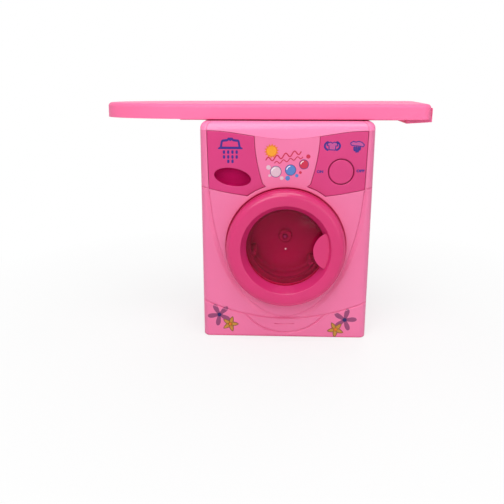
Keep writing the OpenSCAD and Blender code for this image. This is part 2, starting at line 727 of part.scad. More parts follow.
module wiring() color("crimson") {
    wire([[tray_side, cell_y, cell_z(2)], [wire_x, cell_y, cell_z(2)], [wire_x, cell_y, dial_z - 4],
        [wire_x, terminal_y, dial_z - 4], [switch_x - 4.5, terminal_y, dial_z - 4]]);
    wire([[motor_x + 6, motor_end_y, motor_z], [wire_x - 4, motor_end_y, motor_z],
        [wire_x - 4, motor_end_y, dial_z + 4], [wire_x - 4, terminal_y, dial_z + 4],
        [switch_x - 4.5, terminal_y, dial_z + 4]]);
    wire([[tray_side, cell_y - 4, cell_z(0)], [wire_x - 8, cell_y - 4, cell_z(0)],
        [wire_x - 8, cell_y - 4, motor_z - 5], [wire_x - 8, motor_end_y, motor_z - 5],
        [motor_x + 6, motor_end_y, motor_z - 5]]);
}

// ---------- drum ----------

module drum() color(drum_pink) difference() {
    union() {
        difference() {
            rod_y(0, door_z, drum_front_y, drum_back_y, drum_r);
            rod_y(0, door_z, drum_front_y + drum_wall, drum_back_y - drum_wall, drum_r - drum_wall);
            rod_y(0, door_z, drum_front_y - cut, drum_front_y + 2 * drum_wall, drum_r - drum_lip);
        }
        intersection() {
            for (a = [80, 200, 320]) translate([0, 0, door_z]) rotate([0, -a, 0])
                block(drum_r - drum_wall - lifter_h, drum_r - cut, drum_front_y + drum_wall / 2,
                    drum_back_y - drum_wall / 2, -3, 3);
            rod_y(0, door_z, drum_front_y, drum_back_y, drum_r - drum_wall / 2);
        }
        rod_y(0, door_z, drum_back_y - drum_wall - hub_len, drum_back_y - drum_wall / 2, hub_r);
        rod_y(0, door_z, drum_back_y - drum_wall / 2, gear_front_y - bush_flange - 0.2, hub_r - 2);
    }
    rod_y(0, door_z, drum_back_y - drum_wall - hub_len + 1.2, gear_front_y, shaft_r + hold_gap);
    rod_y(0, door_z, drum_back_y - drum_wall - hub_len - cut, drum_back_y, 1.2 + tap_gap);
}

shaft_front_y = drum_back_y - drum_wall - hub_len + 1.2;

module drum_shaft() color(steel) difference() {
    rod_y(0, door_z, shaft_front_y, gear_stop_y + cut, shaft_r);
    rod_y(0, door_z, shaft_front_y - cut, shaft_front_y + 9, 1.2 + tap_gap);
}

module drum_screw() color(steel) screw_forward(0, door_z, shaft_front_y - 1.2 - head_t, 9, 1.2, head_r, head_t);

// Phases that put a tooth of one gear in a gap of the next
drum_phase = idler_dir;
idler_small_phase = idler_dir + 180 + 180 / idler_small_teeth;
idler_large_phase = 0;
pinion_phase = 180 + 180 / pinion_teeth;

module drum_gear() color(white_plastic) union() {
    gear(0, door_z, train_y, train_y + fine_w, drum_teeth, drum_phase, shaft_r + hold_gap);
    difference() {
        rod_y(0, door_z, train_y + fine_w - cut, gear_rear_y - loose_gap, shaft_r + 2.5);
        rod_y(0, door_z, train_y, gear_rear_y + cut, shaft_r + hold_gap);
    }
}

module idler_gear() color(white_plastic) difference() {
    union() {
        gear(idler_x, idler_z, train_y, coarse_y + coarse_w / 2, idler_small_teeth, idler_small_phase,
            axle_r + run_gap);
        gear(idler_x, idler_z, coarse_y, coarse_y + coarse_w, idler_large_teeth, idler_large_phase,
            axle_r + run_gap);
        rod_y(idler_x, idler_z, gear_front_y + plate_t + loose_gap, train_y + cut, axle_r + 1.5);
        rod_y(idler_x, idler_z, coarse_y + coarse_w - cut, gear_rear_y - loose_gap, axle_r + 1.5);
    }
    rod_y(idler_x, idler_z, gear_front_y, gear_rear_y + cut, axle_r + run_gap);
}

module motor_shaft() color(steel)
    rod_y(motor_x, motor_z, coarse_y - 1.5, gear_stop_y + 7, motor_shaft_r);

module pinion() color(brass)
    gear(motor_x, motor_z, coarse_y - 1, coarse_y + coarse_w + 1, pinion_teeth, pinion_phase,
        motor_shaft_r + hold_gap);

// ---------- door ----------

// Radius of the ring's inner cone at a distance in front of the cabinet
function cone_r(out) = window_r + cone_slope * (out - lip_front);

ring_profile = concat(
    [[ring_r, ring_rear]],
    arc_points(ring_r - ring_tip_r, ring_out - ring_tip_r, ring_tip_r, 0, 90, 6),
    [[rim_r + 1, rim_front], [rim_r, rim_front - 0.6], [window_r, lip_front], [window_r, lip_rear],
     [seat_r + 0.5, lip_rear], [seat_r + 0.5, lip_front + 0.4], [cone_r(lip_front) + 3.2, lip_front + 0.4],
     [rim_r + 2.4, rim_front - 2], [rim_r + 3, rim_front - ring_wall],
     [ring_r - ring_tip_r, ring_out - ring_wall]],
    [[ring_r - ring_wall, ring_out - ring_tip_r], [ring_r - ring_wall, ring_rear]]);

module door_ring() color(ring_pink) difference() {
    union() {
        difference() {
            turned(ring_profile);
            block(-ring_r - cut, hinge_x + knuckle_r + 1, hinge_y - knuckle_r - 1, front_y - ring_rear + cut,
                door_z - notch_half, door_z + notch_half);
        }
        rod_z(hinge_x, hinge_y, door_z - knuckle_half, door_z + knuckle_half, knuckle_r);
        block(hinge_x - 2.2, hinge_x + 2.2, front_y - ring_out + ring_wall / 2, hinge_y,
            door_z - knuckle_half, door_z + knuckle_half);
        for (a = door_screw_angles)
            rod_y(door_screw_r * cos(a), door_z + door_screw_r * sin(a), front_y - rim_front + 1,
                front_y - frame_front, 3.2);
    }
    rod_z(hinge_x, hinge_y, door_z - knuckle_half - cut, door_z + knuckle_half + cut, hinge_pin_r + run_gap);
    for (a = door_screw_angles)
        rod_y(door_screw_r * cos(a), door_z + door_screw_r * sin(a), front_y - frame_front - 8,
            front_y - frame_front + cut, 1.1 + tap_gap);
}

// Distance of the window's front in front of the cabinet, at a radius
dome_r = window_r - 0.5;
dome_ball = (dome_r * dome_r + window_dome * window_dome) / (2 * window_dome);
function dome_out(r) = lip_rear + sqrt(dome_ball * dome_ball - r * r) - (dome_ball - window_dome);

module door_window() color(window_magenta) turned(concat(
    [for (i = [0:12]) let (r = dome_r * i / 12) [r, dome_out(r)]],
    [[seat_r, lip_rear], [seat_r, frame_front], [dome_r, frame_front]],
    [for (i = [11:-1:0]) let (r = dome_r * i / 12) [r, dome_out(r) - window_t]]));

module door_back_frame() color(ring_pink) difference() {
    union() {
        rod_y(0, door_z, front_y - frame_front, front_y - frame_front + frame_t, window_r + 10);
        for (a = door_screw_angles)
            rod_y(door_screw_r * cos(a), door_z + door_screw_r * sin(a), front_y - frame_front,
                front_y - frame_front + frame_t, 4.4);
        block(window_r + 8, catch_x + catch_t / 2, front_y - frame_front, front_y - frame_front + frame_t,
            door_z - catch_half, door_z + catch_half);
        block(catch_x - catch_t / 2, catch_x + catch_t / 2, front_y - frame_front, well_floor_y + wall + 3,
            door_z - catch_half, door_z + catch_half);
    }
    rod_y(0, door_z, front_y - frame_front - cut, front_y - frame_front + frame_t + cut, window_r - 0.5);
    for (a = door_screw_angles)
        rod_y(door_screw_r * cos(a), door_z + door_screw_r * sin(a), front_y - frame_front - cut,
            front_y - frame_front + frame_t + cut, 1.1 + loose_gap);
}

module door_screws() color(steel) for (a = door_screw_angles)
    screw_backward(door_screw_r * cos(a), door_z + door_screw_r * sin(a),
        front_y - frame_front + frame_t + 1.4, frame_t + 7, 1.1, 2.4, 1.4);

handle_front = ring_out - 4.8;
handle_t = 2.3;
handle_r = 24;
handle_x = 32;

// Finger plate across the right side of the ring's inner cone
module door_handle() color(ring_pink) intersection() {
    rod_y(handle_x + handle_r, door_z - 1.4, front_y - handle_front, front_y - handle_front + handle_t,
        handle_r);
    turned([[0, handle_front + cut], [cone_r(handle_front + cut) - 0.05, handle_front + cut],
        [cone_r(lip_front) - 0.05, lip_front], [0, lip_front]]);
}

// ---------- dial ----------

module program_dial() color(dark_pink) difference() {
    union() {
        rod_y(dial_x, dial_z, front_y, front_y + dial_t - 0.2, dial_r);
        rod_y(dial_x, dial_z, front_y + cut, pad_y + loose_gap, dial_hub_r);
    }
    rod_y(dial_x, dial_z, pad_y - 6, pad_y + cut, 1.1 + tap_gap);
}

module dial_cam() color(white_plastic) difference() {
    union() {
        rod_y(dial_x, dial_z, pad_y + loose_gap, pad_y + loose_gap + cam_t, cam_r);
        block(dial_x, dial_x + cam_r + 1.8, pad_y + loose_gap, pad_y + loose_gap + cam_t,
            dial_z - 2, dial_z + 2);
    }
    rod_y(dial_x, dial_z, pad_y, pad_y + loose_gap + cam_t + cut, 1.1 + loose_gap);
}

module dial_screw() color(steel)
    screw_backward(dial_x, dial_z, pad_y + loose_gap + cam_t + 1.4, cam_t + 5, 1.1, 2.6, 1.4);

// ---------- ironing board ----------

// Half width of the tapering nose at a distance t, 0 at its root and 1 at its tip
function nose_half(t, half) = half * sqrt(max(0, 1 - pow(t, 2.5)));

// Plan of the board, set in by a wall
function board_plan(inset) =
    let (half = board_w / 2 - inset, x1 = board_x1 - inset, x0 = board_x0 + inset, c = board_corner - inset,
         span = nose_x - x0,
         side = [for (i = [0:nose_steps]) let (t = sin(90 * i / nose_steps)) [nose_x - span * t,
             nose_half(t, half)]])
    concat([for (p = side) [p[0], -p[1]]],
           [for (i = [nose_steps - 1:-1:0]) side[i]],
           arc_points(x1 - c, half - c, c, 90, 0, 5),
           arc_points(x1 - c, -half + c, c, 0, -90, 5));

module ironing_board() color(board_pink) difference() {
    union() {
        difference() {
            translate([0, 0, board_z]) linear_extrude(height = board_h) polygon(board_plan(0));
            translate([0, 0, board_z - cut]) linear_extrude(height = board_h - board_wall + cut)
                polygon(board_plan(board_wall));
        }
        for (p = board_screws_at) rod_z(p[0], p[1], rail_top, board_top - board_wall / 2, board_boss_r);
        for (p = rest_screws_at) rod_z(p[0], p[1], board_z, board_top - board_wall / 2, board_boss_r);
    }
    for (p = board_screws_at) rod_z(p[0], p[1], rail_top - cut, rail_top + 8, 1.2 + tap_gap);
    for (p = rest_screws_at) rod_z(p[0], p[1], board_z - cut, board_z + 8, 1.2 + tap_gap);
}

module board_rail() color(board_pink) difference() {
    union() {
        block(rail_x0, rail_x1, -rail_half, rail_half, rail_z, rail_top);
        for (s = [-1, 1]) rod_z(s * socket_x, 0, rail_z - peg_len, rail_z + cut, peg_r);
    }
    for (p = board_screws_at) {
        rod_z(p[0], p[1], rail_z - cut, rail_top + cut, 1.2 + loose_gap);
        rod_z(p[0], p[1], rail_z - cut, rail_z + 1.6, head_r);
    }
}

module iron_rest() color(dark_pink) difference() {
    upright(-rest_half, rest_half) polygon([[rest_x0, board_z - 5.2], [rest_x1, board_z - 3.4],
        [rest_x1, rest_top], [rest_x1 - rest_wall, rest_top], [rest_x1 - rest_wall, board_z],
        [rest_x0, board_z]]);
    for (p = rest_screws_at) {
        rod_z(p[0], p[1], board_z - 8, board_z + cut, 1.2 + loose_gap);
        rod_z(p[0], p[1], board_z - 8, board_z - 1.6, head_r);
    }
}

module board_screws() color(steel) {
    for (p = board_screws_at) {
        rod_z(p[0], p[1], rail_z + 0.2, rail_z + 1.6, head_r - 0.2);
        rod_z(p[0], p[1], rail_z + 1.5, rail_top + 7, 1.2);
    }
    for (p = rest_screws_at) {
        rod_z(p[0], p[1], board_z - 3, board_z - 1.6, head_r - 0.2);
        rod_z(p[0], p[1], board_z - 1.7, board_z + 7, 1.2);
    }
}

union() { front_panel(); hinge_lugs(); }
rear_housing();
top_cover();
left_control_panel();
right_control_panel();
case_screws();
cover_screws();
hinge_pin();
gearbox_front_plate();
gearbox_rear_plate();
gearbox_screws();
drum_bush();
idler_axle();
motor();
motor_strap();
strap_screws();
dial_switch();
battery_tray();
batteries();
battery_contacts();
battery_door();
battery_door_screw();
wiring();
drum();
drum_shaft();
drum_gear();
drum_screw();
idler_gear();
motor_shaft();
pinion();
door_ring();
door_window();
door_back_frame();
door_screws();
door_handle();
program_dial();
dial_cam();
dial_screw();
ironing_board();
board_rail();
iron_rest();
board_screws();
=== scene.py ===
import math
from math import asin, atan2, copysign, cos, hypot, pi, radians, sin, sqrt

import bmesh
import bpy
from mathutils import Matrix, Vector
from mathutils.geometry import delaunay_2d_cdt


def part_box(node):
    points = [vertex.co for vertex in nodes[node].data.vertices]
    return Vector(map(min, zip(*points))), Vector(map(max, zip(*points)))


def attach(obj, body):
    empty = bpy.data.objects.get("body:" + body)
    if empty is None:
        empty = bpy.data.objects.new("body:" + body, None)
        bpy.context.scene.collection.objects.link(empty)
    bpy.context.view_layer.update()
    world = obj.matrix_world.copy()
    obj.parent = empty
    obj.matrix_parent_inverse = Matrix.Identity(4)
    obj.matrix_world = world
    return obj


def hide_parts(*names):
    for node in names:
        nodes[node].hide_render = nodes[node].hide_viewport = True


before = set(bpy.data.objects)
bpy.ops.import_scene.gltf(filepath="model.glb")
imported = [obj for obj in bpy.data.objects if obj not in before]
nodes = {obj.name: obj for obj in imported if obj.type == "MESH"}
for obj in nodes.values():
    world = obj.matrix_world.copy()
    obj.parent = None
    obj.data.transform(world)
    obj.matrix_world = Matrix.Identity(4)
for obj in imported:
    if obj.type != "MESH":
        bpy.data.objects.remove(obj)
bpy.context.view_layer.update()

# ---------------------------------------------------------------------------
# Front panel: an injection-moulded shell in pink polypropylene, 2.2 mm thick,
# with the door's well, the set of grooves and the two openings for the
# control panels moulded in. It meets the rear housing 25 mm in front of centre.
# ---------------------------------------------------------------------------
MM = 0.001
SIDE_X, FRONT_Y, BACK_Y = 100.0, -65.0, 65.0
SPLIT_Y = -25.0
EDGE_R = 8.0                       # upright edges of the cabinet
FLAT_X = SIDE_X - EDGE_R
FLAT_RUN = FLAT_X + EDGE_R * pi / 2  # along the plan, where the plain side begins
SEAM_Z = 252.6                     # joint between cabinet and top cover
WAVE_DIP = 9.5
SHELL_WALL = 2.2
DOOR_Z = 116.0
KICK_Z, KICK_R, KICK_HALF = 25.2, 233, 105
CONTROL_Z, CONTROL_R = 174.3, 366  # middle and radius of the joint below the controls


def wave_z(x):
    """Lower edge of the cover's front, which is also the top of the front panel."""
    return SEAM_Z - WAVE_DIP * (1 + cos(pi * min(abs(x), FLAT_X) / FLAT_X)) / 2


def kick_z(x):
    """Joint line of the kick plate, a very shallow arc."""
    return KICK_Z + KICK_R - sqrt(KICK_R ** 2 - min(abs(x), KICK_HALF) ** 2)


def control_foot_z(x):
    """Curved joint below the control panels."""
    return CONTROL_Z + x * x / (2 * CONTROL_R)


def smooth(t):
    t = min(max(t, 0), 1)
    return t * t * (3 - 2 * t)


def edge_drop(gap, r):
    """How far a rounded edge has dropped at a distance from it."""
    return r - sqrt(max(r * r - (r - min(max(gap, 0), r)) ** 2, 0))


def shell_point(s, z, out=0.0, back=False):
    """Point of the cabinet's wall: s runs along its plan from the middle of the
    face round the upright edge, and out lifts the point off the wall."""
    turn = min(max((abs(s) - FLAT_X) / EDGE_R, 0), pi / 2)
    over = max(abs(s) - FLAT_RUN, 0)
    x = min(abs(s), FLAT_X) + (EDGE_R + out) * sin(turn)
    y = FRONT_Y + EDGE_R - (EDGE_R + out) * cos(turn) + over
    x = copysign(x, s)
    return Vector((-x, -y, z) if back else (x, y, z)) * MM


def front_x(s):
    """Distance from the middle of the face, for a length s along the plan."""
    return FLAT_X + EDGE_R * sin((abs(s) - FLAT_X) / EDGE_R) if abs(s) > FLAT_X else abs(s)


def spread(a, b, count, first=0, last=0):
    """Even steps from a to b, with some left out at the start or at the end."""
    return [a + (b - a) * i / count for i in range(first, count + 1 - last)]


def along(f, x0, x1, count, lift=0.0):
    """Points on the curve z = f(x), lifted square to it."""
    points = []
    for x in spread(x0, x1, count):
        slope = f(front_x(x) + 0.5) - f(front_x(x) - 0.5)
        points.append((x, f(front_x(x)) + lift * sqrt(1 + slope * slope)))
    return points


def arc(cx, cz, r, a0, a1, count):
    return [(cx + r * cos(radians(a)), cz + r * sin(radians(a))) for a in spread(a0, a1, count)]


def circle(cx, cz, r, count=96):
    return arc(cx, cz, r, 0, 360, count)[:-1]


CORNER_TURN, CORNER_STEPS = 25, 5  # least turn, in degrees, that makes a corner


def soften(outline, r):
    """Rounds the corners of a closed outline."""
    result, n = [], len(outline)
    for i, p in enumerate(outline):
        a, p, b = Vector(outline[i - 1]), Vector(p), Vector(outline[(i + 1) % n])
        u, v = a - p, b - p
        turn = pi - u.angle(v)
        if turn < radians(CORNER_TURN):
            result.append(tuple(p))
            continue
        back = min(r * math.tan(turn / 2), 0.48 * u.length, 0.48 * v.length)
        p0, p1 = p + u.normalized() * back, p + v.normalized() * back
        for t in spread(0, 1, CORNER_STEPS):
            result.append(tuple((1 - t) ** 2 * p0 + 2 * t * (1 - t) * p + t * t * p1))
    return result


def turns_left(outline):
    """True if a closed outline runs anticlockwise."""
    return sum(outline[i - 1][0] * outline[i][1] - outline[i][0] * outline[i - 1][1]
               for i in range(len(outline))) > 0


def grown(outline, by):
    """A closed outline moved outwards by a distance, or inwards where it is negative."""
    n, side = len(outline), 1 if turns_left(outline) else -1
    result = []
    for i in range(n):
        a, p, b = Vector(outline[i - 1]), Vector(outline[i]), Vector(outline[(i + 1) % n])
        n0 = Vector(((p - a).y, -(p - a).x)).normalized()
        n1 = Vector(((b - p).y, -(b - p).x)).normalized()
        m = (n0 + n1).normalized()
        result.append(tuple(p + m * side * by / max(m.dot(n0), 0.5)))
    return result


def inside(outline, x, z):
    """True if a point lies within a closed outline."""
    found = False
    for (x0, z0), (x1, z1) in zip(outline[-1:] + outline[:-1], outline):
        if (z0 > z) != (z1 > z) and x < x0 + (z - z0) * (x1 - x0) / (z1 - z0):
            found = not found
    return found


def line_gap(outline, x, z):
    """Shortest distance from a point to a closed outline."""
    best = 1e9
    for (x0, z0), (x1, z1) in zip(outline[-1:] + outline[:-1], outline):
        dx, dz = x1 - x0, z1 - z0
        t = min(max(((x - x0) * dx + (z - z0) * dz) / max(dx * dx + dz * dz, 1e-12), 0), 1)
        best = min(best, hypot(x - x0 - t * dx, z - z0 - t * dz))
    return best


def cut_sheet(closed, opened, dots, keep, place):
    """A sheet of triangles through flat lines and dots, each point put where place() says.
    closed and opened are lists of lines, and keep() says which triangles stay."""
    verts, edges = [], []
    for lines, loop in ((closed, True), (opened, False)):
        for line in lines:
            first, n = len(verts), len(line)
            verts += [Vector(p) for p in line]
            edges += [(first + i, first + (i + 1) % n) for i in range(n if loop else n - 1)]
    verts += [Vector(p) for p in dots]
    flat, _, faces = delaunay_2d_cdt(verts, edges, [], 0, 1e-4)[:3]
    bm = bmesh.new()
    made = {}
    for face in faces:
        a, b, c = (flat[i] for i in face)
        mid = (a + b + c) / 3
        turn = (b - a).cross(c - a)
        if abs(turn) < 1e-7 or not keep(mid.x, mid.y):
            continue
        for i in face:
            if i not in made:
                made[i] = bm.verts.new(place(flat[i].x, flat[i].y))
        bm.faces.new([made[i] for i in (face if turn > 0 else reversed(face))])
    bmesh.ops.dissolve_degenerate(bm, dist=1e-7, edges=bm.edges[:])
    return bm


def open_rim(bm, near):
    """The edges of an open rim whose two ends both pass the near() test."""
    return [e for e in bm.edges if e.is_boundary and all(near(v.co) for v in e.verts)]


def pull(bm, rim, steps, close=False):
    """Carries an open rim on through steps; each step moves a point to where it says."""
    for step in steps:
        made = bmesh.ops.extrude_edge_only(bm, edges=rim)["geom"]
        for v in (g for g in made if isinstance(g, bmesh.types.BMVert)):
            v.co = step(v.co.copy())
        rim = [g for g in made if isinstance(g, bmesh.types.BMEdge) and g.is_boundary]
    if close:
        bmesh.ops.triangle_fill(bm, edges=rim, use_beauty=True)


def new_object(name, bm):
    """An object with a mesh, in the scene."""
    mesh = bpy.data.meshes.new(name)
    bm.to_mesh(mesh)
    bm.free()
    obj = bpy.data.objects.new(name, mesh)
    bpy.context.scene.collection.objects.link(obj)
    return obj


def bake_mesh(obj):
    """Swaps an object's mesh for what its modifiers make of it, and drops them."""
    shown = obj.evaluated_get(bpy.context.evaluated_depsgraph_get())
    mesh = bpy.data.meshes.new_from_object(shown)
    obj.modifiers.clear()
    obj.data = mesh


SHARP_TURN = 32                    # degrees between faces that makes a sharp edge


def new_piece(name, bm, material, wall=0.0):
    """Makes the object: smooth faces with sharp edges kept, a wall inwards if asked for."""
    obj = new_object(name, bm)
    obj.data.materials.append(material)
    if wall:
        solid = obj.modifiers.new("wall", "SOLIDIFY")
        solid.thickness, solid.offset, solid.use_even_offset = wall * MM, -1, False
        bake_mesh(obj)
    obj.data.shade_smooth()
    obj.data.set_sharp_from_angle(angle=radians(SHARP_TURN))
    even = obj.modifiers.new("even shading", "WEIGHTED_NORMAL")
    even.keep_sharp = True
    return obj


def paint(obj, material, chosen):
    """Gives an object a further material on the faces that chosen() picks by their middle."""
    obj.data.materials.append(material)
    for face in obj.data.polygons:
        if chosen(face.center / MM):
            face.material_index = len(obj.data.materials) - 1


def from_axis(spot):
    """Distance of a point from the axis of the door and the drum."""
    return hypot(spot.x, spot.z - DOOR_Z)


def feed(node, *ins, **values):
    """Gives a node's inputs, in their order or by name, a value or an output to link to."""
    named = [(node.inputs[key.replace("_", " ")], value) for key, value in values.items()]
    for socket, value in list(zip(node.inputs, ins)) + named:
        if hasattr(value, "links"):
            node.id_data.links.new(value, socket)
        elif value is not None:
            socket.default_value = value
    return node


def add_node(tree, kind, settings=None, *ins, **values):
    node = tree.nodes.new(kind)
    for key, value in (settings or {}).items():
        setattr(node, key, value)
    return feed(node, *ins, **values)


def sum_of(tree, how, *terms):
    """The output of a Math node."""
    return add_node(tree, "ShaderNodeMath", {"operation": how}, *terms).outputs[0]


def plain(rgb, share=1.0):
    """Screen colour, 0 to 255, as the light value that a shader takes."""
    return (*[share * (c / 255 / 12.92 if c / 255 <= 0.04045 else
                       ((c / 255 + 0.055) / 1.055) ** 2.4) for c in rgb], 1)


def new_material(name):
    """A material with nodes, its tree and its shader."""
    mat = bpy.data.materials.new(name)
    mat.use_nodes = True
    return mat, mat.node_tree, mat.node_tree.nodes["Principled BSDF"]


def two_tones(tree, factor, dark, light, blend="LINEAR"):
    """A blend between two tones, as a colour output."""
    ramp = add_node(tree, "ShaderNodeValToRGB", Fac=factor)
    ramp.color_ramp.interpolation = blend
    for element, tone in zip(ramp.color_ramp.elements, (dark, light)):
        element.color = tone
    return ramp.outputs["Color"]


def in_range(tree, value, low, high, **limits):
    """Brings a value from its range, or From_Min to From_Max, to the one between low and high."""
    return add_node(tree, "ShaderNodeMapRange", Value=value, To_Min=low, To_Max=high,
                    **limits).outputs["Result"]


def bump_of(tree, height, strength, distance, **under):
    return add_node(tree, "ShaderNodeBump", Strength=strength, Distance=distance, Height=height,
                    **under).outputs["Normal"]


SHUT_DULL = 0.45                   # how much rougher a plastic is where no light gets in


def moulded_plastic(name, colour, deep, shade_colour, rough=0.3, reach=0.005, shut=0.1, gleam=0.4,
                    glow=0.0):
    """Moulded toy plastic: two close tones in slow clouds, a faint flow ripple and a
    fine skin grain that also varies the gloss. Painted shade: where an ambient occlusion
    node finds a joint or a hollow, the base colour is mixed towards the shade colour,
    the third colour given, and glow is the strength of a painted glow in that colour."""
    mat, tree, shader = new_material(name)
    where = add_node(tree, "ShaderNodeTexCoord").outputs["Object"]
    clouds = add_node(tree, "ShaderNodeTexNoise", Vector=where, Scale=14, Detail=3)
    skin = add_node(tree, "ShaderNodeTexNoise", Vector=where, Scale=1400, Detail=2)
    flow = add_node(tree, "ShaderNodeTexNoise", Vector=where, Scale=45)
    tones = two_tones(tree, clouds.outputs["Fac"], plain(deep), plain(colour), "EASE")
    # Painted shade: the ambient occlusion below darkens the base colour in joints and hollows.
    hollows = add_node(tree, "ShaderNodeAmbientOcclusion", {"samples": 8}, Distance=reach)
    shade = in_range(tree, hollows.outputs["AO"], 0, 1, From_Min=shut, From_Max=0.85)
    shade_tone = add_node(tree, "ShaderNodeMix", {"data_type": "RGBA"}, Factor=shade, A=plain(shade_colour),
                     B=tones)
    gloss = in_range(tree, skin.outputs["Fac"], rough - 0.05, rough + 0.05, From_Min=0.1,
                     From_Max=0.9)
    dull = sum_of(tree, "MULTIPLY_ADD", shade, -SHUT_DULL, gloss)
    ripple = bump_of(tree, flow.outputs["Fac"], 0.15, 0.00012)
    # The emission in the shade colour, at strength glow, is a painted glow.
    feed(shader, Base_Color=shade_tone.outputs["Result"], Roughness=sum_of(tree, "ADD", dull, SHUT_DULL),
         Normal=bump_of(tree, skin.outputs["Fac"], 0.3, 0.00002, Normal=ripple),
         Subsurface_Weight=0.06, Subsurface_Radius=(0.005, 0.0012, 0.002), IOR=1.49,
         Specular_IOR_Level=gleam, Emission_Color=plain(shade_colour), Emission_Strength=glow)
    return mat


body_plastic = moulded_plastic("body pink plastic", (236, 121, 166), (229, 112, 158),
                               (210, 44, 108), gleam=0.33)

WELL_R, WELL_FLOOR_Y = 71.6, -57.0
PORT_R, PORT_END_Y = 42.0, -49.0
SIDE_RUN = FLAT_RUN + (SPLIT_Y - (FRONT_Y + EDGE_R))
SEAM_ROUND, RIM_ROUND, FOOT_ROUND = 0.4, 0.9, 2.5     # rounded edges of the shells
SEAM_LINES = (0.08, 0.2, SEAM_ROUND)
GROOVE_HALF, GROOVE_DEEP = 1.6, 1.25
GROOVE = (-GROOVE_HALF, -1.25, -0.95, -0.65, -0.35, 0.0, 0.35, 0.65, 0.95, 1.25, GROOVE_HALF)
FOOT_R = WELL_R + 4.5              # arc that bounds the foot of a control panel
CONTROL_IN, CONTROL_FOOT, CONTROL_TIP, CONTROL_SWEEP = 37.2, 176.9, DOOR_Z + 72.6, 10.6
STEP_HALF, STEP_MID_Z, STEP_TALL = 91, 200, 173       # half ellipse round the raised middle
STEP_IN, STEP_OUT, STEP_DEEP = 1.8, 5.5, 1.9
SWEEP_Z, SWEEP_R = 66.2, 60        # groove that sweeps down below the door
GRIP_HALF, GRIP_TOP, GRIP_TALL, GRIP_DEEP = 13, 18, 2.9, 1.35
FOOT_LINE_X = FLAT_X - 1.5         # where the joint below the controls leaves the face
CONTROLS_Z = 170                   # no control panel reaches lower than this


def groove_depth(d):
    return GROOVE_DEEP * (1 - smooth(abs(d) / GROOVE_HALF))


def control_outline(gap=0.0):
    """Outline of the right control panel, made smaller all round by a gap."""
    start = asin((CONTROL_FOOT - DOOR_Z) / FOOT_R)
    end = asin((CONTROL_TIP - DOOR_Z) / FOOT_R) - radians(0.6)
    tall = wave_z(CONTROL_IN) - CONTROL_TIP
    line = [(x, wave_z(x)) for x in spread(CONTROL_IN, FLAT_X, 28)]
    line += [(x, control_foot_z(x)) for x in spread(FOOT_LINE_X, FOOT_R * cos(start), 18, last=1)]
    line += [(FOOT_R * cos(a), DOOR_Z + FOOT_R * sin(a)) for a in spread(start, end, 10)]
    line += [(CONTROL_IN - CONTROL_SWEEP * (max(0, wave_z(CONTROL_IN) - z) / tall) ** 1.8, z)
             for z in spread(CONTROL_TIP, wave_z(CONTROL_IN), 22, 1, 1)]
    line = soften(line, 1.0)
    return grown(line, -gap) if gap else line


def mirrored(line):
    return [(-x, z) for x, z in reversed(line)]


def step_off(x, z):
    """Signed distance from the tall half ellipse that edges the raised middle."""
    if z >= STEP_MID_Z:
        return abs(x) - STEP_HALF
    u, v = x / STEP_HALF, (z - STEP_MID_Z) / STEP_TALL
    f = hypot(u, v)
    return (f - 1) * f / max(hypot(u / STEP_HALF, v / STEP_TALL), 1e-9)


def grip_z(x, share=1.0):
    """The finger grip's edge in the foot: straight above, for share 0, and bowed below."""
    return GRIP_TOP - share * GRIP_TALL * (1 - (x / GRIP_HALF) ** 2)


def face_relief(s, z):
    """Height of the front's surface over its flat face."""
    x, height = front_x(s), 0.0
    foot = control_foot_z(x)
    off = step_off(x, z)
    if -STEP_IN < off < STEP_OUT and z < foot:
        fall = STEP_DEEP * (1 - smooth(-off / STEP_IN)) * (1 - smooth(off / STEP_OUT))
        height -= fall * smooth((foot - z) / 2.5)
    reach = min(abs(x), KICK_HALF)
    slope = reach / sqrt(KICK_R ** 2 - reach ** 2)
    kick = groove_depth((z - kick_z(x)) / sqrt(1 + slope * slope))
    height -= kick * (1 - smooth((x - 97.5) / 2.2))
    if z < kick_z(x):
        height -= max(0, groove_depth(hypot(x, z - SWEEP_Z) - SWEEP_R) - kick)
    if x > FOOT_LINE_X:
        ends = smooth((x - FOOT_LINE_X) / 0.8) * (1 - smooth((x - 99) / 0.9))
        height -= groove_depth(z - foot) * ends
    if x < GRIP_HALF and GRIP_TOP - GRIP_TALL < z < GRIP_TOP + 0.2:
        down = GRIP_TOP - z
        dent = smooth((down + 0.1) / 0.35) * (1 - smooth(down / max(GRIP_TOP - grip_z(x), 0.01)))
        height -= GRIP_DEEP * dent
    if abs(s) > FLAT_RUN:          # the sides are plain
        height = 0.0
    height -= edge_drop(hypot(x, z - DOOR_Z) - WELL_R, RIM_ROUND)
    return height - shell_drop(s, z, SIDE_RUN, wave_z(s))


def shell_drop(s, z, run, top):
    """How far a shell's wall falls back at its seam, its top edge and its foot."""
    return (edge_drop(top - z, SEAM_ROUND) + edge_drop(run - abs(s), SEAM_ROUND) +
            edge_drop(z, FOOT_ROUND))


def shell_lines(run):
    """Lines up a shell's round edges and its seam, and round its foot."""
    lines = [[(s, 0), (s, SEAM_Z)] for side in (-1, 1) for s in
             [side * (FLAT_X + EDGE_R * radians(a)) for a in range(0, 91, 9)] +
             [side * (run - d) for d in (*SEAM_LINES, 0.9)]]
    return lines + [[(-run, z), (run, z)] for z in
                    [FOOT_ROUND * (1 - cos(radians(a))) for a in range(15, 91, 15)]]


def shell_dots(run, face_x, face_z, side_x):
    """Dots on a shell's face, its sides and beside its seams."""
    return ([(x, z) for x in face_x for z in face_z] +
            [(side * x, z) for side in (-1, 1) for x in side_x
             for z in range(face_z[0], 250, 12)] +
            [(side * (run - d), z) for side in (-1, 1) for d in (*SEAM_LINES, 0.9, 2.4)
             for z in range(3, 250, 3)])


